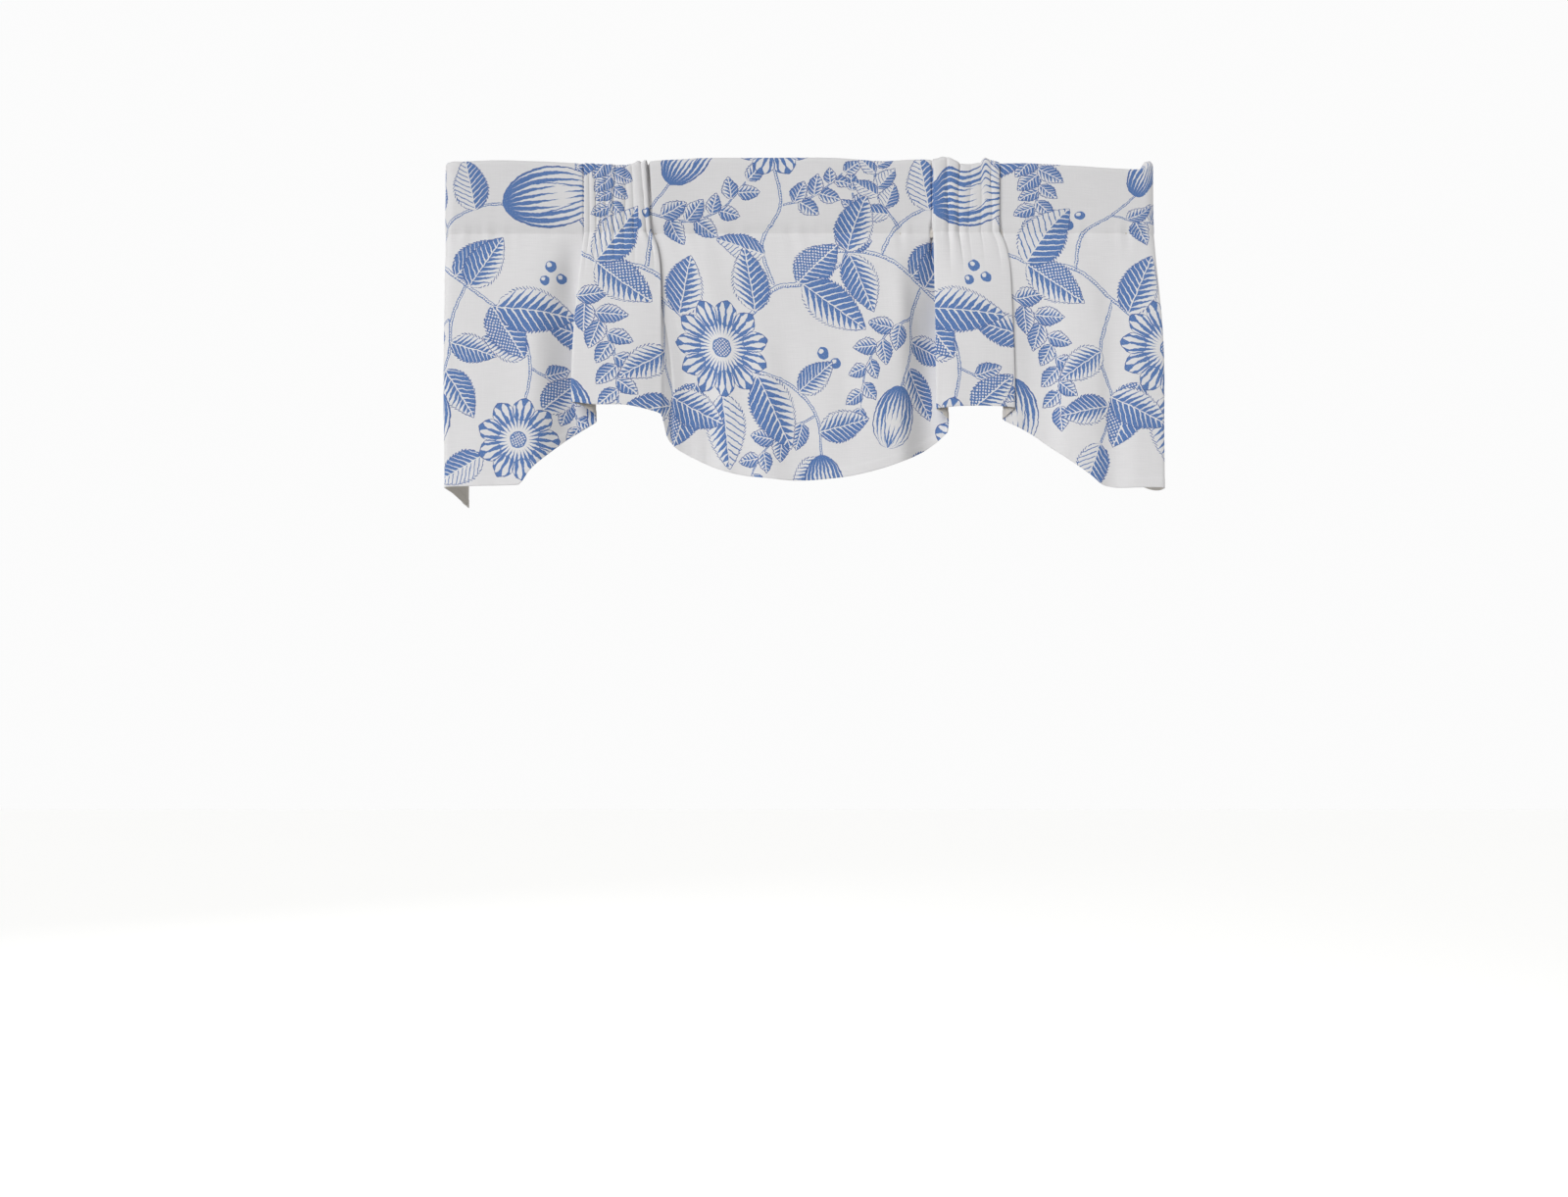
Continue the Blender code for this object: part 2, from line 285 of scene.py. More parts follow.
# From left to right. A tuck runs back under its neighbour, so its x is smaller than the one before.
SECTIONS = (
    Section("left_panel", 186, 4.4, Line(-267.5, ((0, 0), (0.5, -1.5), (1, 0))),
            Line(-271.6, ((0, 0), (0.3, -4), (0.56, -8.5), (0.87, 13), (1, 14)))),
    Section("left_tuck", 26, 1.7, Line(-284.5, ((0, -1.2), (1, -1.2))), Line(-301.0, ((0, -1), (1, -7)))),
    Section("left_gather", 103, 1.9, Line(-195.5, ((0, -5.2), (0.5, -6.2), (1, -5.2))),
            Line(-181.5, ((0, -11), (0.5, -13), (1, -9)))),
    Section("left_flank", 22, 1.7, Line(-216.0, ((0, -1.2), (1, -1.2))), Line(-167.0, ((0, -8), (1, -1)))),
    Section("centre", 397, 4.4, Line(194.0, ((0, 0), (0.5, -3), (1, 0))),
            Line(196.0, ((0, -2.4), (0.06, 2), (0.115, 1.2), (0.19, -5.5), (0.25, -4), (0.34, -7),
                         (0.46, -6), (0.6, -7.5), (0.74, -10), (0.82, -9), (0.845, -5.5), (0.92, 11),
                         (0.95, 14), (1, 14.4)))),
    Section("right_tuck", 20, 1.7, Line(176.2, ((0, -1.2), (1, -1.2))), Line(179.0, ((0, -1), (1, -7)))),
    Section("right_gather", 102, 1.9, Line(264.2, ((0, -5.2), (0.5, -6.2), (1, -5.2))),
            Line(284.5, ((0, -9), (0.5, -9.5), (1, -3.8)))),
    Section("right_flank", 20, 1.7, Line(247.0, ((0, -1.2), (1, -1.2))), Line(268.0, ((0, -0.9), (1, -0.9)))),
    Section("right_panel", 201, 4.4, Line(454.7, ((0, 0), (0.5, -1.5), (1, 0))),
            Line(454.7, ((0, 0), (0.1, 0.4), (0.2, 2.6), (0.3, 2.2), (0.42, -2.5), (0.52, -4.5),
                         (0.62, -3.8), (0.72, -1.6), (0.8, -1), (0.9, -2), (1, -1.2)))),
)


# The sections that lie hidden behind their neighbours
TUCKS = ("left_tuck", "left_flank", "right_tuck", "right_flank")

# The small uneven wrinkles that the rod pocket pushes up across each gather. Each row is a valley between
# two of them: its share across the gather, and how far the wrinkle after it stands forward.
WRINKLES = {
    "left_gather": (
        (0.0, 1.8), (0.1, 2.2), (0.195, 1.6), (0.27, 2.4), (0.357, 2.6), (0.474, 2.2), (0.62, 1.8),
        (0.74, 3.0), (0.925, 3.4), (1.0, 0.0),
    ),
    "right_gather": (
        (0.0, 3.2), (0.24, 3.2), (0.41, 1.4), (0.56, 1.1), (0.72, 1.5), (0.885, 2.6), (1.0, 0.0),
    ),
}
WRINKLE_FADE = 60.0


class Crease(NamedTuple):
    """A narrow upright crease, at a place on the cut cloth.

    It runs between two drops below the top edge, moves sideways by `drift` on the way, and narrows to
    a point at its lower end.
    """

    cloth: float
    drift: float
    half_width: float
    depth: float
    top: float
    bottom: float


CREASES = (
    Crease(266.2, 0.0, 0.9, 3.4, -4.0, 120.0),
    Crease(450.4, 4.6, 1.7, 10.0, -4.0, 62.0),
    Crease(454.6, 4.0, 0.8, 2.4, 46.0, 128.0),
    Crease(813.9, 0.0, 1.0, 4.0, -4.0, 96.0),
    Crease(813.4, 0.4, 1.4, 9.0, 84.0, 132.0),
    Crease(895.0, 0.0, 1.0, 4.5, 2.0, 24.0),
    Crease(940.6, 0.6, 0.9, 3.0, 22.0, 44.0),
    Crease(993.0, 4.0, 1.1, 6.0, 84.0, 134.0),
)


# The hem's cut: shares along each section, and how far the hem lies below the top edge there
HEM_CUT = {
    "left_return": ((0.0, 447.5), (1.0, 436.5)),
    "left_panel": ((0.0, 436.0), (0.445, 435.5), (0.533, 415.5), (0.655, 394.6), (0.835, 367.5)),
    "left_tuck": ((0.0, 347.5),),
    "left_gather": ((0.0, 327.0), (0.3, 330.5), (0.55, 331.0), (0.85, 337.0)),
    "left_flank": ((0.0, 343.0), (0.5, 371.0)),
    "centre": ((0.0, 382.0), (0.085, 400.0), (0.19, 416.5), (0.3, 424.8), (0.45, 429.5), (0.6, 425.5),
               (0.73, 416.0), (0.895, 392.0)),
    "right_tuck": ((0.0, 362.0),),
    "right_gather": ((0.0, 336.0), (0.6, 331.0)),
    "right_flank": ((0.0, 333.0),),
    "right_panel": ((0.0, 347.0), (0.176, 364.0), (0.361, 390.0), (0.585, 421.0), (0.683, 435.0),
                    (0.8, 438.0)),
    "right_return": ((0.0, 436.5), (1.0, 417.0)),
}

# The top edge dips where the gathers pull it down: x and how far below the highest point
TOP_DIPS = (
    (-472.7, 0.5), (-468, 3.4), (-448, 4.3), (-409, 3.0), (-345, 4.3), (-306, 6.7), (-280, 8.2),
    (-254, 9.7), (-234, 10.8), (-215, 8.1), (-207, 5.7), (-202, 6.7), (-196, 4.3), (-163, 1.7), (-124, 0.0),
    (0, 0.0), (44, 0.4), (109, 4.1), (148, 1.7), (167, 1.7), (180, 3.0), (189, 0.4), (194, 0.4),
    (206, 5.6), (219, 9.5), (238, 6.9), (245, 0.7), (251, 3.0), (264, 6.9), (290, 6.9), (329, 8.3),
    (368, 10.8), (407, 13.4), (446, 14.6), (452, 13.8), (456.2, 11.8), (460.4, 7.7), (463.6, 4.4),
    (467, 1.9), (470, 0.4), (472.7, 0.0),
)


class Flute(NamedTuple):
    """A soft upright swell of the skirt: its middle and half width across the cut, and its height.

    It grows from the stitch line to the hem, or it is highest at `middle` below the stitch line.
    """

    cloth: float
    half_width: float
    forward: float
    middle: float | None = None
    half_length: float = 60.0


FLUTES = (
    Flute(224.0, 11.0, 1.4, 58.0, 34.0),
    Flute(252.0, 13.0, -4.6, 58.0, 36.0),
    Flute(768.0, 14.0, 3.6, 92.0, 50.0),
    Flute(821.0, 12.0, -6.5, 24.0, 34.0),
    Flute(825.0, 21.0, -7.0, 96.0, 52.0),
    Flute(126.0, 24.0, 1.0),
    Flute(346.0, 24.0, -1.2),
    Flute(389.0, 18.0, 1.4),
    Flute(470.0, 20.0, 1.4),
    Flute(500.0, 16.0, -0.8),
    Flute(577.0, 22.0, 1.0),
    Flute(600.0, 18.0, -0.9),
    Flute(684.0, 22.0, -1.2),
    Flute(877.0, 16.0, 1.8),
    Flute(920.0, 20.0, -1.2),
    Flute(1060.0, 26.0, 1.4),
    Flute(1094.0, 14.0, 0.9),
    Flute(1121.0, 14.0, -1.4),
    Flute(1150.0, 20.0, 1.2),
)

# Slow waves that keep a hanging cloth from being flat: across, down, phase and height
SLOW_WAVES = (
    (210.0, 620.0, 0.6, 0.55), (143.0, 388.0, 2.1, 0.42), (97.0, 301.0, 4.0, 0.30), (71.0, 180.0, 5.2, 0.20),
)

# Puckers that the sewing draws up beside a seam: wavelength, phase and height
PUCKERS = ((17.3, 0.4, 0.34), (23.9, 2.7, 0.30), (13.1, 4.4, 0.22))

# How far the stitch line draws the cloth in: places across the cut, and distances
SEAM_DRAW = (
    (70.0, 0.2), (98.0, 1.7), (250.0, 2.1), (284.0, 1.4), (310.0, 0.5), (413.0, 0.4), (435.0, 1.4),
    (560.0, 1.6), (720.0, 1.1), (832.0, 0.9), (852.0, 0.4), (954.0, 0.2), (974.0, 0.3), (1203.0, 0.0),
)


@dataclass
class HungCloth:
    """The plan courses of the folds, and every point of the cloth as it hangs on its rod."""

    front_width: float = 945.4
    return_depth: float = 88.0
    corner_radius: float = 18.0
    hem_corner: float = 8.0
    pocket_thick: float = 16.0
    pocket_height: float = 101.0
    opening_height: float = 222.0
    return_lean: float = 12.0
    right_flare: float = 12.0
    ridge_lean: float = 7.0
    ridge_bow: float = 7.5
    ridge_bow_at: float = 38.0
    ridge_reach: float = 26.0
    stitch_softness: float = 1.6
    hem_softness: float = 4.0
    fold_spacing: float = 0.9
    crease_spacing: float = 0.45
    valley_power: float = 0.45
    layer_share: float = 0.55
    seam_turning: float = 6.0
    hem_turning: float = 12.0
    hem_step: float = 0.3
    groove_depth: float = 0.6
    groove_width: float = 4.2
    pucker_height: float = 1.3
    pucker_fade: float = 15.0
    hem_pucker_height: float = 0.55
    hem_pucker_fade: float = 16.0
    draw_below: float = 34.0
    draw_above: float = 11.0
    back_share: float = 0.8
    flute_growth: tuple[float, float] = (10.0, 240.0)
    swell_start: float = 18.0
    wave_start: float = 60.0
    pocket_wave_start: float = 30.0
    pocket_wave_share: float = 0.8
    hem_edge: tuple[float, float] = (11.0, 13.4)
    seam_set_back: float = 2.0
    layer_squeeze: float = 0.27
    top_flattening: float = 0.28
    seam_blend: tuple[float, float] = (0.80, 0.985)
    layer_lift: float = 0.22
    layer_lift_reach: float = 0.09
    flank_dip: float = 0.5
    flank_dip_reach: float = 0.05
    tuck_hold: float = 0.85

    def __post_init__(self) -> None:
        """Lays out the cut cloth and joins the courses at both levels."""
        corner = self.corner_radius * math.pi / 2
        end = self.return_depth - self.corner_radius
        self.names = ["left_return", "left_corner", *(s.name for s in SECTIONS), "right_corner",
                      "right_return"]
        self.widths = np.array([end, corner, *(s.cut for s in SECTIONS), corner, end])
        self.marks = np.concatenate([[0.0], np.cumsum(self.widths)])
        self.corner_x = self.front_width / 2 - self.corner_radius
        self.courses = {
            Level.STITCH: self.course(Level.STITCH, self.stitch_softness),
            Level.HEM: self.course(Level.HEM, self.hem_softness),
        }

    @property
    def cut_width(self) -> float:
        """The cut cloth's whole width."""
        return float(self.marks[-1])

    def span(self, name: str) -> tuple[float, float]:
        """Where a section of the cut cloth begins and ends."""
        i = self.names.index(name)
        return float(self.marks[i]), float(self.marks[i + 1])

    def end_line(self, side: int, level: Level) -> list[tuple[float, float]]:
        """The return and the corner at one end of the front.

        Args:
            side: -1 for the left end and 1 for the right.
            level: The height at which it is read.

        Returns:
            Points in plan from the wall to the front.
        """
        half = back = self.front_width / 2
        if level is Level.HEM:
            back -= self.return_lean
            if side > 0:
                half += self.right_flare
                back += self.right_flare
        points = [(side * back, self.return_depth), (side * half, self.corner_radius)]
        radius = self.corner_radius if level is Level.STITCH else self.hem_corner
        for angle in np.radians(np.linspace(0, 90, 9)):
            x = half - radius * (1 - math.cos(angle))
            points.append((side * x, radius * (1 - math.sin(angle))))
        points.append((side * (half - self.corner_radius), 0.0))
        return points

    def course(self, level: Level, softness: float) -> tuple[np.ndarray, ...]:
        """The cloth's whole course in plan at one level.

        Args:
            level: The height.
            softness: How far the folds are rounded.

        Returns:
            Distances along the course at even steps, x and y there, and the sections' ends.
        """
        left = self.end_line(-1, level)
        right = self.end_line(1, level)[::-1]
        points, ends, x = list(left), [0, 1, len(left) - 1], left[-1][0]
        for section in SECTIONS:
            line: Line = getattr(section, level.value)
            if section.name == "right_panel":
                line = line._replace(x=right[0][0])
            shares = np.linspace(0, 1, 49)
            depths = soft_curve(shares, *zip(*line.depths))
            if level is Level.STITCH:
                depths = np.where(depths < 0, depths * self.layer_share, depths)
            points += zip(x + (line.x - x) * shares, depths)
            ends.append(len(points) - 1)
            x = line.x
        points += right[1:]
        ends += [len(points) - 2, len(points) - 1]
        path = np.array(points)
        along = lengths_along(path)
        even = np.arange(0.0, along[-1], PATH_STEP)
        x = softened(np.interp(even, along, path[:, 0]), softness)
        y = softened(np.interp(even, along, path[:, 1]), softness)
        return even, x, y, along[ends]

    def plan(self, cloth: np.ndarray, level: Level) -> np.ndarray:
        """The plan points, x and y in two rows, at distances along the cut cloth."""
        even, x, y, ends = self.courses[level]
        path = np.interp(cloth, self.marks, ends)
        return np.array([np.interp(path, even, x), np.interp(path, even, y)])

    def rearmost(self, x: np.ndarray) -> np.ndarray:
        """The y of the hindmost layer of the front at each x, along the stitch line."""
        _, course_x, course_y, _ = self.courses[Level.STITCH]
        bins = np.arange(-self.corner_x, self.corner_x + 1, 1.0)
        nothing = -99.0
        rear = np.full(len(bins), nothing)
        place = np.clip(np.round(course_x - bins[0]).astype(int), 0, len(bins) - 1)
        np.maximum.at(rear, place, np.where(np.abs(course_x) <= self.corner_x, course_y, nothing))
        rear = np.where(rear == nothing, 0.0, rear)
        return np.interp(x, bins, softened(rear, 3.0, 1.0))

    def hem_drop(self, cloth: np.ndarray) -> np.ndarray:
        """The hem's depth below the top edge."""
        places, drops = [], []
        for name, cuts in HEM_CUT.items():
            start, end = self.span(name)
            places += [start + (end - start) * share for share, _ in cuts]
            drops += [drop for _, drop in cuts]
        return soft_curve(cloth, places, drops)

    def top_dip(self, x: np.ndarray) -> np.ndarray:
        """How far the top edge lies below its highest point at each x."""
        return soft_curve(x, *zip(*TOP_DIPS))

    def wrinkle(self, cloth: np.ndarray, z: np.ndarray | float) -> np.ndarray:
        """How far a small wrinkle of a gather stands forward.

        Args:
            cloth: Distances across the cut.
            z: Heights. The creases wander a little from side to side on their way down.

        Returns:
            The distance, which is nothing outside the gathers.
        """
        forward = np.zeros(np.broadcast(cloth, z).shape)
        for name, valleys in WRINKLES.items():
            start, end = self.span(name)
            edges, depths = np.array(valleys).T
            share = (cloth - start) / (end - start)
            room = np.clip(4 * share * (1 - share), 0, 1)
            share = share + room * 0.018 * np.sin(z / 31.0 + 9 * share)
            i = np.clip(np.searchsorted(edges, share) - 1, 0, len(edges) - 2)
            phase = np.clip((share - edges[i]) / (edges[i + 1] - edges[i]), 0, 1)
            bump = depths[i] * np.sin(math.pi * phase) ** self.valley_power
            forward = forward + np.where((share > 0) & (share < 1), bump, 0.0)
        return forward

    def crease(self, cloth: np.ndarray, z: np.ndarray | float) -> np.ndarray:
        """How far the narrow creases lie back at places on the cloth and at heights."""
        back = np.zeros(np.broadcast(cloth, z).shape)
        for crease in CREASES:
            run = np.clip((-z - crease.top) / (crease.bottom - crease.top), 0.0, 1.0)
            taper = np.minimum(1.0, 6 * run) * np.sqrt(1 - run)
            width = crease.half_width * (0.35 + 0.65 * np.sqrt(1 - run))
            away = (cloth - crease.cloth - crease.drift * run) / width
            back = back + crease.depth * taper * np.exp(-(away**2))
        return back

    def columns(self) -> np.ndarray:
        """The places of the mesh's columns across the cut, close together at the folds."""
        folds = self.marks[3:-3]
        creases = [c.cloth + share * c.drift for c in CREASES for share in (0.0, 0.6)]
        for name, valleys in WRINKLES.items():
            start, end = self.span(name)
            creases += [start + (end - start) * share for share, _ in valleys[1:-1]]
        creases = np.array(creases)
        caps = np.array([6.5, 2.8, *(s.spacing for s in SECTIONS), 2.8, 6.5])

        def spacing(cloth: np.ndarray) -> np.ndarray:
            """The wanted gap between columns."""
            fold = np.abs(cloth[:, None] - folds[None, :]).min(axis=1)
            section = np.clip(np.searchsorted(self.marks, cloth) - 1, 0, len(caps) - 1)
            crease = np.abs(cloth[:, None] - creases[None, :]).min(axis=1)
            near = np.minimum(self.fold_spacing + 0.26 * fold, self.crease_spacing + 0.5 * crease)
            return np.minimum(near, caps[section])

        return spaced(self.cut_width, spacing)

    def outward(self, cloth: np.ndarray) -> tuple[np.ndarray, np.ndarray]:
        """The rod's centre line beside each column, and the way out from it to the front face.

        Args:
            cloth: Distances across the cut.

        Returns:
            The centre line's plan points and the outward directions, each in two rows.
        """
        x, y = self.plan(cloth, Level.STITCH)
        side = np.sign(x)
        half = self.pocket_thick / 2
        corner = np.abs(x) > self.corner_x
        across = np.where(corner, np.abs(x) - self.corner_x, 0.0)
        along = np.minimum(y - self.corner_radius, 0.0)
        length = np.maximum(np.hypot(across, along), 1e-6)
        turn_x = np.where(corner, side * across / length, 0.0)
        turn_y = np.where(corner, along / length, -1.0)
        front_y = np.where(corner, y, 0.0)
        centre = np.array([x - turn_x * half, front_y - turn_y * half])
        return centre, np.array([turn_x, turn_y])

    def skirt(self, cloth: np.ndarray, z: np.ndarray, drop: np.ndarray) -> np.ndarray:
        """Points of the skirt's front face.

        Args:
            cloth: Distances across the cut, one for each column.
            z: Heights, in rows of columns.
            drop: The hem's depth for each column.

        Returns:
            The points, with their x, y and z in the last axis.
        """
        below = np.maximum(-self.pocket_height - z, 0.0)
        opened = np.sin(math.pi / 2 * np.minimum(1.0, below / self.opening_height))
        stitch, hem = self.plan(cloth, Level.STITCH), self.plan(cloth, Level.HEM)
        x = stitch[0] + (hem[0] - stitch[0]) * opened
        y = stitch[1] + (hem[1] - stitch[1]) * opened
        # the two folds at the gathers' right edges swing out to the right just below the stitch line
        swing = self.ridge_bow * below / self.ridge_bow_at * np.exp(1 - below / self.ridge_bow_at)
        for name in ("left_gather", "right_gather"):
            x = x + swing * bell(cloth - self.span(name)[1], self.ridge_reach)
        forward = self.wrinkle(cloth, z) * np.maximum(0.0, 1 - below / WRINKLE_FADE) ** 1.2
        forward = forward - self.crease(cloth, z)
        for flute in FLUTES:
            if flute.middle is None:
                length = smooth_step(below, *self.flute_growth)
            else:
                length = bell(below - flute.middle, flute.half_length)
                length = length * smooth_step(below, 0.0, self.swell_start)
            forward = forward + flute.forward * bell(cloth - flute.cloth, flute.half_width) * length
        forward = forward + self.slow_waves(cloth, z) * smooth_step(below, 0.0, self.wave_start)
        above_hem = drop + z
        at_hem = self.hem_pucker_height * np.exp(-above_hem / self.hem_pucker_fade)
        forward = forward + self.puckers(cloth * 0.83 + 7) * at_hem
        forward = forward + self.hem_step * (1 - smooth_step(above_hem, *self.hem_edge))
        forward = forward + self.beside_stitches(cloth, below)
        forward = forward - self.seam_draw(cloth) * bell(below, self.draw_below)
        _, out = self.outward(cloth)
        loose = self.loose(cloth)
        return np.stack([x + out[0] * forward * loose, y + out[1] * forward * loose, z], axis=-1)

    def slow_waves(self, cloth: np.ndarray, z: np.ndarray | float) -> np.ndarray:
        """How far the slow waves stand forward at places on the cloth and at heights."""
        return sum(height * np.sin(2 * math.pi * (cloth / across + z / down) + phase)
                   for across, down, phase, height in SLOW_WAVES)

    def beside_stitches(self, cloth: np.ndarray, away: np.ndarray | float) -> np.ndarray:
        """How far the puckers stand forward and the groove lies back, away from the stitch line."""
        puckers = self.pucker_height * self.puckers(cloth) * np.exp(-away / self.pucker_fade)
        return puckers - self.groove_depth * bell(away, self.groove_width)

    def puckers(self, cloth: np.ndarray) -> np.ndarray:
        """The small uneven waves that a row of stitches draws up."""
        waves = [h * np.sin(2 * math.pi * cloth / length + p) for length, p, h in PUCKERS]
        return sum(waves) * (0.75 + 0.45 * np.sin(cloth / 61.0 + 1.0))

    def seam_draw(self, cloth: np.ndarray) -> np.ndarray:
        """How far the stitch line draws the cloth in, more at some stitches than at others."""
        drawn = soft_curve(cloth, *zip(*SEAM_DRAW))
        return drawn * (1 + 0.35 * self.puckers(cloth * 0.71 + 3))

    def loose(self, cloth: np.ndarray) -> np.ndarray:
        """How freely each column moves forward: 1 where it faces the room, and less in a tuck."""
        weight = np.ones_like(cloth)
        for name in TUCKS:
            start, end = self.span(name)
            inner = smooth_step(cloth, start - 5, start + 3) * (1 - smooth_step(cloth, end - 3, end + 5))
            weight = weight * (1 - self.tuck_hold * inner)
        return weight

    def pocket_profile(self) -> tuple[np.ndarray, np.ndarray, np.ndarray]:
        """The pocket's section, from the stitch line up the front, over the top and down the back.

        Returns:
            Distances along it, how far back it lies, and how far below its top.
        """
        thick, height = self.pocket_thick, self.pocket_height
        corners = np.array([
            (0.0, height), (0.0, 5.0), (3.5, 0.0), (thick - 3.5, 0.0), (thick, 5.0),
            (thick, height + self.seam_turning),
        ])
        along = lengths_along(corners)
        even = np.arange(0.0, along[-1], PATH_STEP)
        back = softened(np.interp(even, along, corners[:, 0]), 4.0)
        down = softened(np.interp(even, along, corners[:, 1]), 4.0)
        return even, back, down

    def pocket(self, cloth: np.ndarray) -> tuple[np.ndarray, np.ndarray]:
        """Points of the pocket's outer face, without the stitch line itself.

        Args:
            cloth: Distances across the cut, one for each column.

        Returns:
            The points in rows above the stitch line, and each row's distance from that line.
        """
        even, back, down = self.pocket_profile()
        top = even[int(np.argmin(down))]

        def spacing(along: np.ndarray) -> np.ndarray:
            """The wanted gap between rows."""
            front = np.minimum(1.2 + 0.25 * along, 6.0)
            fold = 1.7 + 0.25 * np.maximum(np.abs(along - top) - 10.0, 0.0)
            behind = np.minimum(1.7 + 0.3 * np.maximum(along - top - 10.0, 0.0), 11.0)
            end = np.maximum(2.2, 0.22 * (even[-1] - along))
            return np.where(along < top, np.minimum(front, fold), np.minimum(behind, end))

        rows = spaced(float(even[-1]), spacing)[1:]
        height, thick = self.pocket_height, self.pocket_thick
        centre, out = self.outward(cloth)
        x, y = self.plan(cloth, Level.STITCH)
        flat = np.abs(x) <= self.corner_x
        layer = np.where(flat, -y, 0.0)
        dip = self.top_dip(x)
        drawn = self.seam_draw(cloth) * self.loose(cloth)
        seam = np.where(flat, thick / 2 - self.rearmost(x), thick / 2)
        seam = seam - self.seam_set_back - self.layer_squeeze * layer - drawn
        lean = -self.ridge_lean * bell(cloth - self.span("left_gather")[1], self.ridge_reach)
        points = []
        for row in rows:
            behind = float(np.interp(row, even, back)) / thick
            below = float(np.interp(row, even, down))
            share = below / height
            z = -dip - (height - dip) * min(share, 1.0) - max(below - height, 0.0)
            wrinkle = self.wrinkle(cloth, z)
            # the wrinkles are a little flatter over the pocket's top, and flatter still at its back
            fullness = (1 - self.top_flattening) + self.top_flattening * min(1.0, share * 1.6)
            front_reach = thick / 2 + layer + wrinkle * fullness - self.crease(cloth, z)
            back_reach = thick / 2 + self.back_share * (layer + wrinkle)
            reach = front_reach * (1 - behind) - back_reach * behind
            if row < top:
                above = height - below
                reach = reach + self.beside_stitches(cloth, above) - drawn * bell(above, self.draw_above)
                waves = self.pocket_wave_share * self.slow_waves(cloth, -below)
                reach = reach + waves * smooth_step(above, 0.0, self.pocket_wave_start)
            else:
                to_seam = smooth_step(share, *self.seam_blend)
                reach = reach * (1 - to_seam) + seam * to_seam
            # folded layers stand a little higher at the top edge, and the small wrinkles' flanks lower
            z = z + self.layer_lift * layer * bell(share, self.layer_lift_reach)
            flank = (1.3 - wrinkle / 1.6) * bell(share, self.flank_dip_reach) * (wrinkle > 0)
            z = z - self.flank_dip * flank
            across = centre[0] + out[0] * reach + lean * (1 - min(share, 1.0))
            points.append(np.stack([across, centre[1] + out[1] * reach, z], axis=-1))
        return np.array(points), rows


# ---------------------------------------------------------------------------------------------------
# The print

# A body's outline: the powers of the share from its base and from its tip, and the widening to a given
# greatest width
LEAF_BODY = (0.62, 0.95, 2.87)
BUD_BODY = (0.55, 0.5, 2.07)


class Shape(Enum):
    """The print's motifs."""

    LEAF = 1
    BLOOM = 2
    BUD = 3
    BERRY = 4


class Fill(Enum):
    """How one half of a leaf is drawn."""

    SOLID = 0
    SPIKES = 1
    VEINS = 2
    DOTS = 3


class Motif(NamedTuple):
    """A motif's place on the repeat, its turn in degrees, its size, and how its halves are drawn.

    A bloom's or a berry's length is its radius, and a bloom's half width is its number of petals.
    """

    shape: Shape
    across: float
    down: float
    turn: float
    length: float
    half_width: float
    first: Fill = Fill.SOLID
    second: Fill = Fill.SOLID


class Stem(NamedTuple):
    """A branch's line on the repeat, and its half width at its two ends."""

    points: tuple[tuple[float, float], ...]
    thick: float
    thin: float


class Spray(NamedTuple):
    """A stem with leaflets on both sides that get smaller towards its tip."""

    stem: Stem
    pairs: int
    length: float
    half_width: float
    spread: float
    first: Fill
    second: Fill


STEMS = (
    Stem(((-60, 166), (-6, 128), (58, 132), (112, 170), (152, 200)), 3.3, 2.2),
    Stem(((58, 132), (84, 92), (124, 66), (168, 60)), 2.5, 1.8),
    Stem(((152, 200), (186, 232), (198, 282), (190, 332)), 2.4, 1.8),
    Stem(((112, 170), (94, 214), (90, 262), (72, 312)), 2.1, 1.5),
    Stem(((244, -70), (258, 0), (254, 60), (286, 112), (334, 140)), 3.2, 2.2),
    Stem(((286, 112), (302, 176), (288, 240), (300, 300)), 2.2, 1.5),
    Stem(((334, 140), (396, 150), (442, 190), (478, 224)), 3.0, 2.2),
    Stem(((396, 150), (410, 104), (448, 72), (484, 26)), 2.3, 1.6),
    Stem(((442, 190), (420, 262), (436, 326), (418, 384)), 2.2, 1.4),
    Stem(((556, 286), (604, 304), (640, 344), (648, 402)), 2.6, 1.6),
    Stem(((556, 214), (598, 176), (640, 168), (692, 142)), 3.0, 3.3),
    Stem(((598, 176), (592, 120), (620, 66), (610, 8)), 2.4, 1.7),
)

SPRAYS = (
    Spray(Stem(((344, -40), (356, 20), (348, 78)), 1.7, 1.2), 4, 42.0, 15.0, 52.0, Fill.SPIKES, Fill.SOLID),
    Spray(Stem(((300, 176), (340, 212), (362, 266), (366, 330)), 1.8, 1.2), 5, 42.0, 14.0, 48.0,
          Fill.SOLID, Fill.SPIKES),
    Spray(Stem(((640, 344), (598, 366), (560, 400), (540, 452)), 1.6, 1.1), 4, 40.0, 14.0, 50.0,
          Fill.SPIKES, Fill.SOLID),
    Spray(Stem(((84, 92), (60, 52), (56, 4), (72, -44)), 1.7, 1.1), 4, 40.0, 14.0, 50.0,
          Fill.SOLID, Fill.VEINS),
    Spray(Stem(((620, 66), (664, 52), (702, 20)), 1.6, 1.1), 3, 34.0, 12.0, 50.0, Fill.SPIKES, Fill.SOLID),
    Spray(Stem(((94, 214), (56, 238), (26, 280), (16, 334)), 1.6, 1.1), 4, 38.0, 13.0, 48.0,
          Fill.SPIKES, Fill.SOLID),
    Spray(Stem(((448, 72), (498, 86), (544, 70), (578, 32)), 1.6, 1.1), 4, 40.0, 14.0, 50.0,
          Fill.SOLID, Fill.SPIKES),
    Spray(Stem(((198, 282), (240, 308), (262, 354), (266, 412)), 1.6, 1.1), 4, 38.0, 13.0, 48.0,
          Fill.SPIKES, Fill.SOLID),
    Spray(Stem(((692, 142), (716, 96), (712, 44)), 1.6, 1.1), 3, 34.0, 12.0, 46.0, Fill.SOLID, Fill.SPIKES),
)

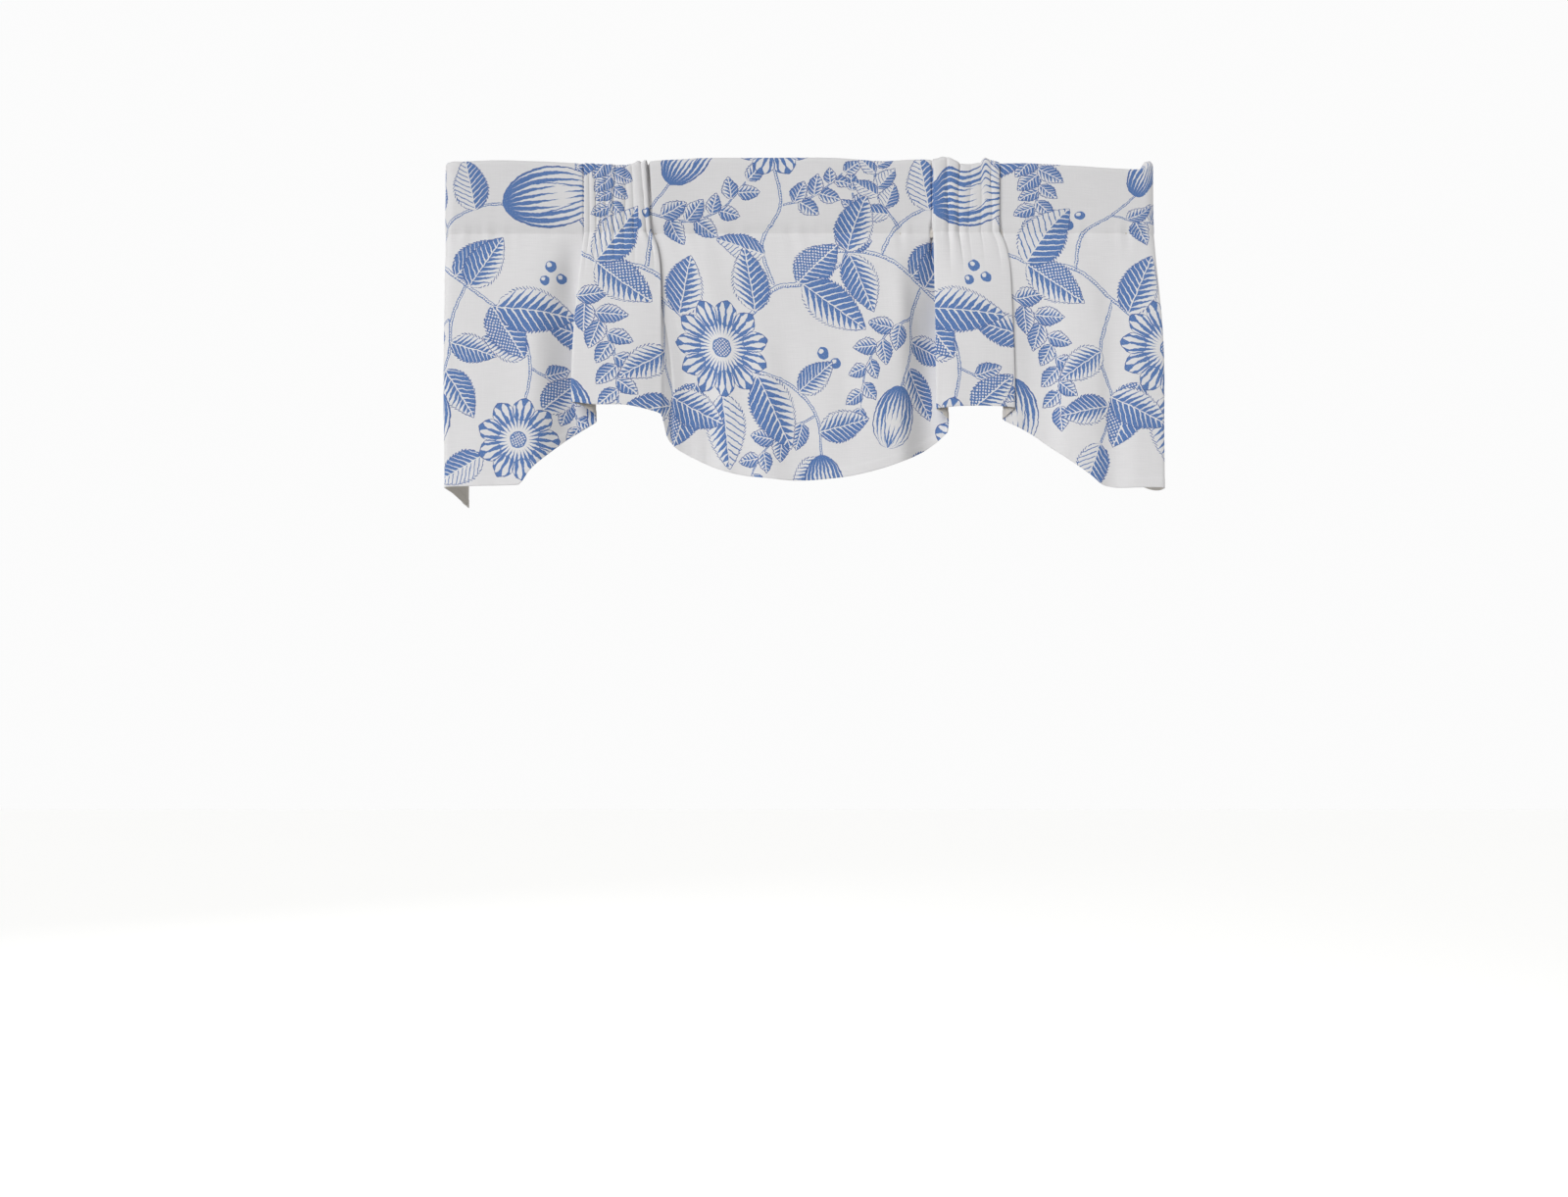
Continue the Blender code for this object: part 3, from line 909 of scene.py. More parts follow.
SOLID, SPIKES, VEINS, DOTS = Fill

# The motifs in the order in which they cover one another, by shape. A row holds the place across and
# down, the turn, the length, the half width, and the fills of a leaf's two halves.
MOTIF_ROWS = {
    Shape.BLOOM: (
        (512, 254, 8, 66, 11), (182, 376, 20, 56, 9), (612, -22, 0, 50, 8),
    ),
    Shape.BUD: (
        (160, 62, -12, 132, 45), (300, 292, 84, 92, 33), (74, 306, 104, 84, 29), (478, 34, -58, 84, 30),
        (646, 396, 82, 78, 28),
    ),
    Shape.LEAF: (
        (152, 200, 6, 108, 30, SOLID, SPIKES), (116, 172, -56, 80, 24, SPIKES, SOLID),
        (124, 70, -100, 78, 23, SOLID, VEINS), (146, 198, 58, 84, 25, DOTS, SOLID),
        (254, 60, 166, 78, 25, SPIKES, SOLID), (258, 0, -10, 88, 26, SOLID, SPIKES),
        (334, 140, -52, 98, 29, SOLID, VEINS), (336, 142, 38, 86, 26, SPIKES, DOTS),
        (288, 240, 196, 76, 22, SPIKES, SOLID), (422, 258, 146, 68, 21, SPIKES, SPIKES),
        (434, 318, 26, 84, 25, SOLID, SPIKES), (418, 380, 108, 74, 22, VEINS, SOLID),
        (430, 330, 168, 66, 20, SOLID, SPIKES), (460, 208, -64, 86, 25, SPIKES, SOLID),
        (558, 292, 64, 108, 30, SOLID, SPIKES), (470, 300, 112, 92, 27, DOTS, SOLID),
        (508, 316, 84, 100, 28, SPIKES, VEINS), (566, 206, -88, 86, 25, SOLID, SPIKES),
        (636, 170, 38, 100, 29, SPIKES, SOLID), (630, 168, -40, 80, 24, SOLID, DOTS),
        (594, 130, 200, 62, 19, SOLID, VEINS), (16, 126, -70, 82, 24, SPIKES, SOLID),
        (18, 130, 74, 82, 24, SOLID, SPIKES), (648, 400, 128, 66, 20, SPIKES, SOLID),
        (196, 262, 200, 66, 20, SOLID, SPIKES), (214, 336, -42, 70, 21, SPIKES, DOTS),
        (134, 396, 150, 70, 21, SOLID, VEINS), (92, 246, 18, 64, 19, SOLID, SPIKES),
        (86, 282, 60, 74, 21, SPIKES, SOLID), (645, 366, -14, 72, 21, SOLID, SPIKES),
        (616, 312, -38, 62, 19, SPIKES, SOLID), (98, 158, -42, 72, 22, SOLID, SOLID),
    ),
    Shape.BERRY: (
        (392, 90, 0, 8.0, 1), (408, 74, 0, 7.0, 1), (376, 76, 0, 6.5, 1), (652, 262, 0, 8.0, 1),
        (669, 275, 0, 7.0, 1), (646, 281, 0, 6.5, 1), (224, 146, 0, 7.5, 1), (238, 161, 0, 6.5, 1),
        (216, 165, 0, 6.5, 1),
    ),
}
MOTIFS = tuple(Motif(shape, *row) for shape, rows in MOTIF_ROWS.items() for row in rows)


@dataclass
class BotanicalPrint:
    """The cloth's print: branches, sprays, blooms, buds and berries on a repeat, laid on the faces.

    The repeat is set on across the cloth, and once more above, for the pocket's back. Each face of the
    cloth is told which motifs cross it and where it lies on each of them. The material draws them from
    that, so the lines stay sharp however large the faces are.
    """

    repeat: float = 686.0
    repeat_down: float = 500.0
    motif_layers: int = 4
    stem_layers: int = 2
    wobble: float = 1.2

    def stem_line(self, stem: Stem) -> np.ndarray:
        """A smooth line through a stem's points, at steps of about two millimetres."""
        given = np.array(stem.points, float)
        ends = np.concatenate([[2 * given[0] - given[1]], given, [2 * given[-1] - given[-2]]])
        line = []
        for i in range(1, len(ends) - 2):
            count = max(2, int(np.hypot(*(ends[i + 1] - ends[i])) / 2))
            for t in np.arange(count) / count:
                a, b, c, d = ends[i - 1:i + 3]
                line.append(0.5 * (2 * b + (c - a) * t + (2 * a - 5 * b + 4 * c - d) * t**2
                                   + (3 * b - 3 * c + d - a) * t**3))
        line.append(ends[-2])
        return np.array(line)

    def spray_leaves(self, spray: Spray) -> list[Motif]:
        """The leaflets of a spray, from its base to the one at its tip."""
        line = self.stem_line(spray.stem)
        along = lengths_along(line)
        leaves = []
        for i in range(spray.pairs):
            share = (i + 0.8) / (spray.pairs + 0.6)
            size = 1.0 - 0.34 * share + 0.06 * math.sin(2.3 * i)
            for side in (-1, 1):
                place = along[-1] * min(1.0, share + 0.035 * side)
                x, y = (np.interp(place, along, line[:, k]) for k in (0, 1))
                nearby = min(along[-1], place + 3.0)
                dx = np.interp(nearby, along, line[:, 0]) - np.interp(nearby - 3, along, line[:, 0])
                dy = np.interp(nearby, along, line[:, 1]) - np.interp(nearby - 3, along, line[:, 1])
                turn = math.degrees(math.atan2(dy, dx)) + side * spray.spread
                leaves.append(Motif(Shape.LEAF, float(x), float(y), turn, spray.length * size,
                                    spray.half_width * size, spray.first, spray.second))
        dx, dy = line[-1] - line[-3]
        leaves.append(Motif(Shape.LEAF, *line[-1], math.degrees(math.atan2(dy, dx)),
                            spray.length * 0.82, spray.half_width * 0.8, spray.first, spray.second))
        return leaves

    def reach(self, motif: Motif, along: np.ndarray, across: np.ndarray, margin: np.ndarray) -> np.ndarray:
        """Tells which faces a motif may touch.

        Args:
            motif: The motif.
            along: The faces' middles along the motif's own axis.
            across: The faces' middles across it.
            margin: Each face's own reach.

        Returns:
            True for each face that it may touch.
        """
        if motif.shape in (Shape.BLOOM, Shape.BERRY):
            return np.hypot(along, across) < motif.length + margin
        share = np.clip(along / motif.length, 0.02, 0.98)
        swell, taper, widening = LEAF_BODY if motif.shape is Shape.LEAF else BUD_BODY
        half = motif.half_width * widening * share ** swell * (1 - share) ** taper
        near = (along > -margin) & (along < motif.length + margin)
        return near & (np.abs(across) < half + margin)

    def lay(self, corners: np.ndarray) -> tuple[dict[str, np.ndarray], int]:
        """Lays the print on the faces.

        Args:
            corners: The cut-cloth places of each face's four corners, as faces by corners by two.

        Returns:
            By attribute name, three numbers for every corner, and how many crossings found no layer.
        """
        faces = len(corners)
        middle = corners.mean(axis=1)
        margin = np.hypot(*(corners[:, 2] - corners[:, 0]).T) / 2 + self.wobble
        layers = {}
        for i in range(self.motif_layers):
            layers[f"motif_place_{i + 1}"] = np.zeros((faces, 4, 3))
            layers[f"motif_kind_{i + 1}"] = np.zeros((faces, 4, 3))
        for i in range(self.stem_layers):
            layers[f"stem_place_{i + 1}"] = np.zeros((faces, 4, 3))
        used = np.zeros(faces, int)
        lost = 0
        every = list(MOTIFS)
        for spray in SPRAYS:
            every += self.spray_leaves(spray)
        first = math.floor(corners[..., 0].min() / self.repeat) - 1
        last = math.ceil(corners[..., 0].max() / self.repeat) + 1
        repeats = [(k * self.repeat, down)
                   for down in (0.0, -self.repeat_down) for k in range(first, last + 1)]
        for motif in every:
            turn = math.radians(motif.turn)
            axis, side = (math.cos(turn), math.sin(turn)), (-math.sin(turn), math.cos(turn))
            for moved in repeats:
                start = np.array((motif.across, motif.down)) + moved
                near = np.abs(middle - start).max(axis=1) < motif.length + 12
                found = np.nonzero(near)[0]
                if not len(found):
                    continue
                local = middle[found] - start
                hit = self.reach(motif, local @ axis, local @ side, margin[found])
                found = found[hit]
                lost += int((used[found] >= self.motif_layers).sum())
                for i in range(self.motif_layers):
                    here = found[used[found] == i]
                    offset = corners[here] - start
                    size = np.full(offset.shape[:2], motif.length)
                    layers[f"motif_place_{i + 1}"][here] = np.stack(
                        [offset @ axis, offset @ side, size], axis=-1)
                    layers[f"motif_kind_{i + 1}"][here] = (
                        motif.half_width, motif.shape.value, motif.first.value + 4 * motif.second.value)
                used[found] += 1
        lost += self.lay_stems(corners, middle, margin, repeats, layers)
        return layers, lost

    def lay_stems(self, corners: np.ndarray, middle: np.ndarray, margin: np.ndarray,
                  repeats: list[tuple[float, float]], layers: dict[str, np.ndarray]) -> int:
        """Lays the stems on the faces, below the motifs.

        Args:
            corners: The places of each face's corners.
            middle: The places of the faces' middles.
            margin: Each face's own reach.
            repeats: How far each repeat that the cloth shows is moved, across and down.
            layers: The attributes by name, which take the stems.

        Returns:
            How many crossings found no layer.
        """
        used = np.zeros(len(corners), int)
        lost = 0
        for stem in (*STEMS, *(spray.stem for spray in SPRAYS)):
            line = self.stem_line(stem)
            steps = np.diff(line, axis=0)
            along = lengths_along(line)
            for offset in repeats:
                moved = line + offset
                low, high = moved.min(axis=0) - 12, moved.max(axis=0) + 12
                found = np.nonzero(((middle > low) & (middle < high)).all(axis=1))[0]
                if not len(found):
                    continue
                gap = np.hypot(*(middle[found, None] - moved[None]).transpose(2, 0, 1)).min(axis=1)
                found = found[gap < stem.thick + margin[found]]
                points = corners[found].reshape(-1, 2)
                if not len(points):
                    continue
                local = points[:, None] - moved[:-1]
                share = np.clip((local * steps).sum(-1) / (steps * steps).sum(-1), 0, 1)
                away = local - share[..., None] * steps
                best = np.hypot(away[..., 0], away[..., 1]).argmin(axis=1)
                unit = steps[best] / np.hypot(*steps[best].T)[:, None]
                past = points - moved[best]
                run = along[best] + (past * unit).sum(-1)
                sideways = past[:, 1] * unit[:, 0] - past[:, 0] * unit[:, 1]
                width = stem.thick + (stem.thin - stem.thick) * run / along[-1]
                width = np.where((run < -0.5) | (run > along[-1] + 0.5), -9.0, width)
                values = np.stack([run, sideways, width], axis=-1).reshape(len(found), 4, 3)
                lost += int((used[found] >= self.stem_layers).sum())
                for i in range(self.stem_layers):
                    chosen = used[found] == i
                    layers[f"stem_place_{i + 1}"][found[chosen]] = values[chosen]
                used[found] += 1
        return lost


# ---------------------------------------------------------------------------------------------------
# Finishes


class Side(Enum):
    """The two sides of the cloth."""

    FACE = "face"
    REVERSE = "reverse"


# How a motif's own measures become ink. Lengths are millimetres on the cloth, and a result of 0 or 1
# means no or yes. "along" and "across" are the place on the motif from its base or middle.
LEAF_STEPS = (
    ("share", "DIVIDE!", "along", "length"),
    ("rest", "SUBTRACT!", 1.0, "share"),
    ("swell", "POWER", "share", LEAF_BODY[0]),
    ("taper", "POWER", "rest", LEAF_BODY[1]),
    ("body", "MULTIPLY", "swell", "taper"),
    ("profile", "MULTIPLY", "body", "leaf_half"),
    ("tooth", "DIVIDE", "along", 4.6),
    ("tooth_rise", "FRACT", "tooth"),
    ("tooth_cut", "MULTIPLY_ADD", "tooth_rise", -0.13, 1.06),
    ("margin", "MULTIPLY", "profile", "tooth_cut"),
    ("apart", "ABSOLUTE", "across"),
    ("room", "SUBTRACT", "margin", "apart"),
    ("leaf_inside", "GREATER_THAN", "room", 0.0),
    ("leaf_rim", "LESS_THAN", "room", 1.15),
    ("reach", "DIVIDE!", "apart", "profile"),
    ("pitch", "MULTIPLY", "length", 0.048),
    ("half_pitch", "MAXIMUM", "pitch", 2.6),
    ("slant", "MULTIPLY_ADD", "apart", -0.8, "along"),
    ("vein_wave", "PINGPONG", "slant", "half_pitch"),
    ("vein", "DIVIDE", "vein_wave", "half_pitch"),
    ("second_half", "LESS_THAN", "across", 0.0),
    ("second_fill", "FLOOR", "quarter_fill"),
    ("first_fill", "MULTIPLY_ADD", "second_fill", -4.0, "fill"),
    ("fill_change", "SUBTRACT", "second_fill", "first_fill"),
    ("half_fill", "MULTIPLY_ADD", "fill_change", "second_half", "first_fill"),
    ("solid_limit", "MULTIPLY_ADD", "reach", -0.2, 0.3),
    ("spike_limit", "POWER", "reach", 0.9),
    ("is_spiked", "GREATER_THAN", "half_fill", 0.5),
    ("is_veined", "GREATER_THAN", "half_fill", 1.5),
    ("limit_rise", "SUBTRACT", "spike_limit", "solid_limit"),
    ("limit_1", "MULTIPLY_ADD", "limit_rise", "is_spiked", "solid_limit"),
    ("vein_rise", "SUBTRACT", 0.78, "limit_1"),
    ("limit", "MULTIPLY_ADD", "vein_rise", "is_veined", "limit_1"),
    ("leaf_lines", "GREATER_THAN", "vein", "limit"),
    ("is_dotted", "GREATER_THAN", "half_fill", 2.5),
    ("dot_row", "MULTIPLY", "along", 1.15),
    ("dot_column", "MULTIPLY", "apart", 1.15),
    ("dot_wave_1", "SINE", "dot_row"),
    ("dot_wave_2", "SINE", "dot_column"),
    ("dot_wave", "MULTIPLY", "dot_wave_1", "dot_wave_2"),
    ("dots", "LESS_THAN", "dot_wave", 0.3),
    ("dot_change", "SUBTRACT", "dots", "leaf_lines"),
    ("leaf_body", "MULTIPLY_ADD", "dot_change", "is_dotted", "leaf_lines"),
    ("off_midrib", "GREATER_THAN", "apart", 0.75),
    ("leaf_printed", "MULTIPLY", "leaf_body", "off_midrib"),
    ("leaf_ink", "MAXIMUM", "leaf_printed", "leaf_rim"),
)

BLOOM_STEPS = (
    ("across_squared", "MULTIPLY", "across", "across"),
    ("radius_squared", "MULTIPLY_ADD", "along", "along", "across_squared"),
    ("radius", "SQRT", "radius_squared"),
    ("angle", "ARCTAN2", "across", "along"),
    ("petal_count", "MULTIPLY", "half", 0.15915),
    ("petal_turn", "MULTIPLY", "angle", "petal_count"),
    ("petal_wave", "PINGPONG", "petal_turn", 0.5),
    ("petal", "MULTIPLY", "petal_wave", 2.0),
    ("petal_round", "POWER", "petal", 0.5),
    ("petal_reach", "MULTIPLY_ADD", "petal_round", 0.27, 0.73),
    ("petal_end", "MULTIPLY", "petal_reach", "length"),
    ("bloom_room", "SUBTRACT", "petal_end", "radius"),
    ("bloom_inside", "GREATER_THAN", "bloom_room", 0.0),
    ("bloom_rim", "LESS_THAN", "bloom_room", 1.2),
    ("petal_half", "DIVIDE", "radius", "half"),
    ("petal_gap", "MULTIPLY", "petal_half", "petal"),
    ("bloom_seam", "LESS_THAN", "petal_gap", 0.27),
    ("stroke_turn", "MULTIPLY", "petal_turn", 3.0),
    ("stroke_wave", "PINGPONG", "stroke_turn", 0.5),
    ("stroke", "MULTIPLY", "stroke_wave", 2.0),
    ("radius_share", "DIVIDE", "radius", "length"),
    ("stroke_limit", "MULTIPLY_ADD", "radius_share", 1.9, -0.72),
    ("tip_limit", "MULTIPLY_ADD", "radius_share", -4.2, 4.1),
    ("either_limit", "MINIMUM", "stroke_limit", "tip_limit"),
    ("bloom_strokes", "GREATER_THAN", "stroke", "either_limit"),
    ("outer_ink_1", "MAXIMUM", "bloom_rim", "bloom_seam"),
    ("outer_ink", "MAXIMUM", "outer_ink_1", "bloom_strokes"),
    # the inner ring of petals stands half a petal on from the outer one
    ("inner_turn", "ADD", "petal_turn", 0.5),
    ("inner_wave", "PINGPONG", "inner_turn", 0.5),
    ("inner_petal", "MULTIPLY", "inner_wave", 2.0),
    ("inner_round", "POWER", "inner_petal", 0.5),
    ("inner_reach", "MULTIPLY_ADD", "inner_round", 0.15, 0.4),
    ("inner_room", "SUBTRACT", "inner_reach", "radius_share"),
    ("inner_inside", "GREATER_THAN", "inner_room", 0.0),
    ("inner_rim", "LESS_THAN", "inner_room", 0.022),
    ("inner_limit", "MULTIPLY_ADD", "radius_share", -3.0, 1.75),
    ("inner_strokes", "GREATER_THAN", "stroke", "inner_limit"),
    ("inner_ink", "MAXIMUM", "inner_rim", "inner_strokes"),
    ("eye_inside", "LESS_THAN", "radius_share", 0.2),
    ("eye_ring", "GREATER_THAN", "radius_share", 0.172),
    ("eye_grid_1", "MULTIPLY", "along", 1.35),
    ("eye_grid_2", "MULTIPLY", "across", 1.35),
    ("eye_wave_1", "SINE", "eye_grid_1"),
    ("eye_wave_2", "SINE", "eye_grid_2"),
    ("eye_wave", "MULTIPLY", "eye_wave_1", "eye_wave_2"),
    ("eye_dots", "GREATER_THAN", "eye_wave", -0.15),
    ("eye_ink", "MAXIMUM", "eye_ring", "eye_dots"),
    ("ring_change", "SUBTRACT", "inner_ink", "outer_ink"),
    ("ringed_ink", "MULTIPLY_ADD", "ring_change", "inner_inside", "outer_ink"),
    ("eye_change", "SUBTRACT", "eye_ink", "ringed_ink"),
    ("bloom_ink", "MULTIPLY_ADD", "eye_change", "eye_inside", "ringed_ink"),
)

BUD_STEPS = (
    ("bud_swell", "POWER", "share", BUD_BODY[0]),
    ("bud_taper", "POWER", "rest", BUD_BODY[1]),
    ("bud_body", "MULTIPLY", "bud_swell", "bud_taper"),
    ("bud_half", "MULTIPLY", "half", BUD_BODY[2]),
    ("bud_profile", "MULTIPLY", "bud_body", "bud_half"),
    ("bud_room", "SUBTRACT", "bud_profile", "apart"),
    ("bud_inside", "GREATER_THAN", "bud_room", 0.0),
    ("bud_rim", "LESS_THAN", "bud_room", 1.25),
    ("bud_reach", "DIVIDE!", "apart", "bud_profile"),
    ("petal_bend", "POWER", "rest", 0.45),
    ("petal_line", "MULTIPLY", "petal_bend", 0.62),
    ("line_gap", "SUBTRACT", "bud_reach", "petal_line"),
    ("line_far", "ABSOLUTE", "line_gap"),
    ("line_mm", "MULTIPLY", "line_far", "bud_profile"),
    ("bud_line", "LESS_THAN", "line_mm", 0.8),
    ("ray_turn", "MULTIPLY", "bud_reach", 4.5),
    ("ray_wave", "PINGPONG", "ray_turn", 0.5),
    ("ray", "MULTIPLY", "ray_wave", 2.0),
    ("outer_petal", "GREATER_THAN", "line_gap", 0.0),
    ("ray_limit", "MULTIPLY_ADD", "share", 2.0, -0.15),
    ("ray_end", "MULTIPLY_ADD", "share", -2.4, 2.5),
    ("ray_outer", "MULTIPLY_ADD", "share", 1.1, -0.12),
    ("ray_inner", "MINIMUM", "ray_limit", "ray_end"),
    ("ray_change", "SUBTRACT", "ray_outer", "ray_inner"),
    ("ray_cut", "MULTIPLY_ADD", "ray_change", "outer_petal", "ray_inner"),
    ("bud_rays", "GREATER_THAN", "ray", "ray_cut"),
    ("bud_ink_1", "MAXIMUM", "bud_rays", "bud_line"),
    ("bud_ink", "MAXIMUM", "bud_ink_1", "bud_rim"),
)

BERRY_STEPS = (
    ("berry_inside", "LESS_THAN", "radius", "length"),
    ("shine_size", "MULTIPLY", "length", 0.3),
    ("shine_along", "ADD", "along", "shine_size"),
    ("shine_across", "ADD", "across", "shine_size"),
    ("shine_1", "MULTIPLY", "shine_across", "shine_across"),
    ("shine_2", "MULTIPLY_ADD", "shine_along", "shine_along", "shine_1"),
    ("shine_radius", "SQRT", "shine_2"),
    ("shine_edge", "MULTIPLY", "length", 0.42),
    ("berry_ink", "GREATER_THAN", "shine_radius", "shine_edge"),
)

CHOICE_STEPS = (
    ("is_leaf", "COMPARE", "shape", 1.0, 0.3),
    ("is_bloom", "COMPARE", "shape", 2.0, 0.3),
    ("is_bud", "COMPARE", "shape", 3.0, 0.3),
    ("is_berry", "COMPARE", "shape", 4.0, 0.3),
    ("in_leaf", "MULTIPLY", "is_leaf", "leaf_inside"),
    ("in_bloom", "MULTIPLY", "is_bloom", "bloom_inside"),
    ("in_bud", "MULTIPLY", "is_bud", "bud_inside"),
    ("in_berry", "MULTIPLY", "is_berry", "berry_inside"),
    ("inside_1", "ADD", "in_leaf", "in_bloom"),
    ("inside_2", "ADD", "in_bud", "in_berry"),
    ("inside", "ADD!", "inside_1", "inside_2"),
    ("ink_1", "MULTIPLY", "in_leaf", "leaf_ink"),
    ("ink_2", "MULTIPLY_ADD", "in_bloom", "bloom_ink", "ink_1"),
    ("ink_3", "MULTIPLY_ADD", "in_bud", "bud_ink", "ink_2"),
    ("ink", "MULTIPLY_ADD", "in_berry", "berry_ink", "ink_3"),
    ("line_1", "MULTIPLY", "in_leaf", "leaf_rim"),
    ("line_2", "MULTIPLY_ADD", "in_bloom", "bloom_rim", "line_1"),
    ("line", "MULTIPLY_ADD", "in_bud", "bud_rim", "line_2"),
)

STEM_STEPS = (
    ("stem_apart", "ABSOLUTE", "stem_across"),
    ("stem_room", "SUBTRACT", "stem_half", "stem_apart"),
    ("stem_inside", "GREATER_THAN", "stem_room", 0.0),
    ("stem_rim", "LESS_THAN", "stem_room", 0.95),
    ("tick_place", "MULTIPLY_ADD", "stem_across", 0.7, "stem_along"),
    ("tick_wave", "PINGPONG", "tick_place", 1.7),
    ("tick", "GREATER_THAN", "tick_wave", 1.0),
    ("tick_side", "GREATER_THAN", "stem_across", 0.0),
    ("ticked", "MULTIPLY", "tick", "tick_side"),
    ("stem_lines", "MAXIMUM", "stem_rim", "ticked"),
    ("stem_ink", "MULTIPLY", "stem_inside", "stem_lines"),
)


@dataclass(frozen=True)
class PrintedCotton:
    """Plain-weave cotton canvas, half-bleached, screen-printed with blue pigment.

    To the eye it is matt and a little uneven: slubs in the weft show as short level streaks, and the
    pigment sits on the threads' tops, so the ground peeps through it.
    """

    ground: str = "#E4E3E4"
    # the reverse: the cloth's own greige, set darker than it is as painted shade, since the reverse shows
    # mostly in shade in folds and inside the returns
    reverse: str = "#CDC8C1"
    ink: str = "#4A74B2"
    ink_line: str = "#3B5C9C"
    roughness: float = 0.88
    sheen: float = 0.12
    slub_length: float = 26.0
    slub_width: float = 1.1
    slub_strength: float = 0.05
    thread_spacing: float = 1.1  # twice the real spacing, so that it shows
    show_through: float = 0.1
    # how much darker the pocket is painted: painted shade for the light that the rod keeps from coming
    # through
    painted_pocket_shade: float = 0.055
    pocket_foot: float = -0.1012  # a height in metres, just below the stitch line

    def motif_group(self) -> bpy.types.NodeTree:
        """The node group that draws one layer's motif.

        Returns:
            A group that takes a layer's two attributes and the pen's wobble, and gives whether the
            place is inside the motif, whether it is inked, and whether it is part of an outline.
        """
        group = bpy.data.node_groups.new("print_motif", "ShaderNodeTree")
        for name in ("place", "kind", "wobble"):
            group.interface.new_socket(name, in_out="INPUT", socket_type="NodeSocketVector")
        for name in ("inside", "ink", "line"):
            group.interface.new_socket(name, in_out="OUTPUT", socket_type="NodeSocketFloat")
        given = add_node(group, "NodeGroupInput").outputs
        place = parts_of(group, vector_math(group, "ADD", given["place"], given["wobble"]))
        kind = parts_of(group, given["kind"])
        known = dict(zip(("along", "across", "length", "half", "shape", "fill"), (*place, *kind)))
        work_out(group, known, (
            ("leaf_half", "MULTIPLY", "half", LEAF_BODY[2]),
            ("quarter_fill", "MULTIPLY_ADD", "fill", 0.25, 0.01),
            *LEAF_STEPS, *BLOOM_STEPS, *BUD_STEPS, *BERRY_STEPS, *CHOICE_STEPS,
        ))
        result = add_node(group, "NodeGroupOutput")
        for name in ("inside", "ink", "line"):
            group.links.new(known[name], result.inputs[name])
        return group

    def drawn_print(self, tree: bpy.types.NodeTree, cloth: bpy.types.NodeSocket,
                    group: bpy.types.NodeTree, paper: BotanicalPrint) -> dict:
        """Draws the whole print from the layers, the front motif over the ones behind it.

        Args:
            tree: The material's node tree.
            cloth: The place on the cut cloth, in millimetres.
            group: The group that draws one motif.
            paper: The print, for its numbers of layers.

        Returns:
            The sockets "ink" and "line", each 0 to 1.
        """
        known: dict = {}
        wobble = noise(tree, cloth, 0.11, 2.0, 0.62).outputs["Color"]
        centred = vector_math(tree, "SUBTRACT", wobble, (0.5, 0.5, 0.5))
        pen = vector_math(tree, "MULTIPLY", centred, (3.2, 3.2, 0.0))
        ink: str | float = 0.0
        line: str | float = 0.0
        for i in range(paper.stem_layers):
            place = add_node(tree, "ShaderNodeAttribute", {"attribute_name": f"stem_place_{i + 1}"})
            parts = parts_of(tree, vector_math(tree, "ADD", place.outputs["Vector"], pen))
            known.update(zip(("stem_along", "stem_across", "stem_half"), parts))
            work_out(tree, known, (*STEM_STEPS, (f"stem_ink_{i}", "MAXIMUM", "stem_ink", ink)))
            ink = f"stem_ink_{i}"
        for i in reversed(range(paper.motif_layers)):
            place = add_node(tree, "ShaderNodeAttribute", {"attribute_name": f"motif_place_{i + 1}"})
            kind = add_node(tree, "ShaderNodeAttribute", {"attribute_name": f"motif_kind_{i + 1}"})
            motif = add_node(tree, "ShaderNodeGroup", {"node_tree": group}, {
                "place": place.outputs["Vector"], "kind": kind.outputs["Vector"], "wobble": pen})
            known.update(inside=motif.outputs["inside"], own_ink=motif.outputs["ink"],
                         own_line=motif.outputs["line"])
            work_out(tree, known, (
                ("outside", "SUBTRACT", 1.0, "inside"),
                (f"ink_{i}", "MULTIPLY_ADD", ink, "outside", "own_ink"),
                (f"line_{i}", "MULTIPLY_ADD", line, "outside", "own_line"),
            ))
            ink, line = f"ink_{i}", f"line_{i}"
        return {"ink": known[ink], "line": known[line]}

    def material(self, side: Side, group: bpy.types.NodeTree, paper: BotanicalPrint
                 ) -> bpy.types.Material:
        """Makes the finish of one side of the cloth.

        Args:
            side: The side of the cloth.
            group: The group that draws one motif.
            paper: The print.

        Returns:
            The material.
        """
        material = bpy.data.materials.new(f"screen_printed_cotton_canvas_{side.value}")
        material.use_nodes = True
        tree = material.node_tree
        tree.nodes.clear()
        cut = add_node(tree, "ShaderNodeUVMap", {"uv_map": "cut_cloth"})
        cloth = vector_math(tree, "SCALE", cut.outputs[0], 1 / MM)
        streaks = add_node(tree, "ShaderNodeMapping", None, {
            "Vector": cloth, "Scale": (1 / self.slub_length, 1 / self.slub_width, 1.0)})
        slub = noise(tree, streaks.outputs[0], 1.0, 3.0, 0.6)
        upright = add_node(tree, "ShaderNodeMapping", None, {
            "Vector": cloth, "Scale": (1 / self.slub_width, 1 / (1.6 * self.slub_length), 1.0)})
        warp = noise(tree, upright.outputs[0], 1.0, 2.0, 0.5)
        cloud = noise(tree, cloth, 0.012, 2.0, 0.5)
        hung = parts_of(tree, add_node(tree, "ShaderNodeTexCoord").outputs["Object"])
        cut_x, cut_y, _ = parts_of(tree, cloth)
        known = {"slub": slub.outputs[0], "warp": warp.outputs[0], "cloud": cloud.outputs[0],
                 "cut_x": cut_x, "cut_y": cut_y, "height": hung[2]}
        thread = 2 * math.pi / self.thread_spacing
        strength = self.slub_strength
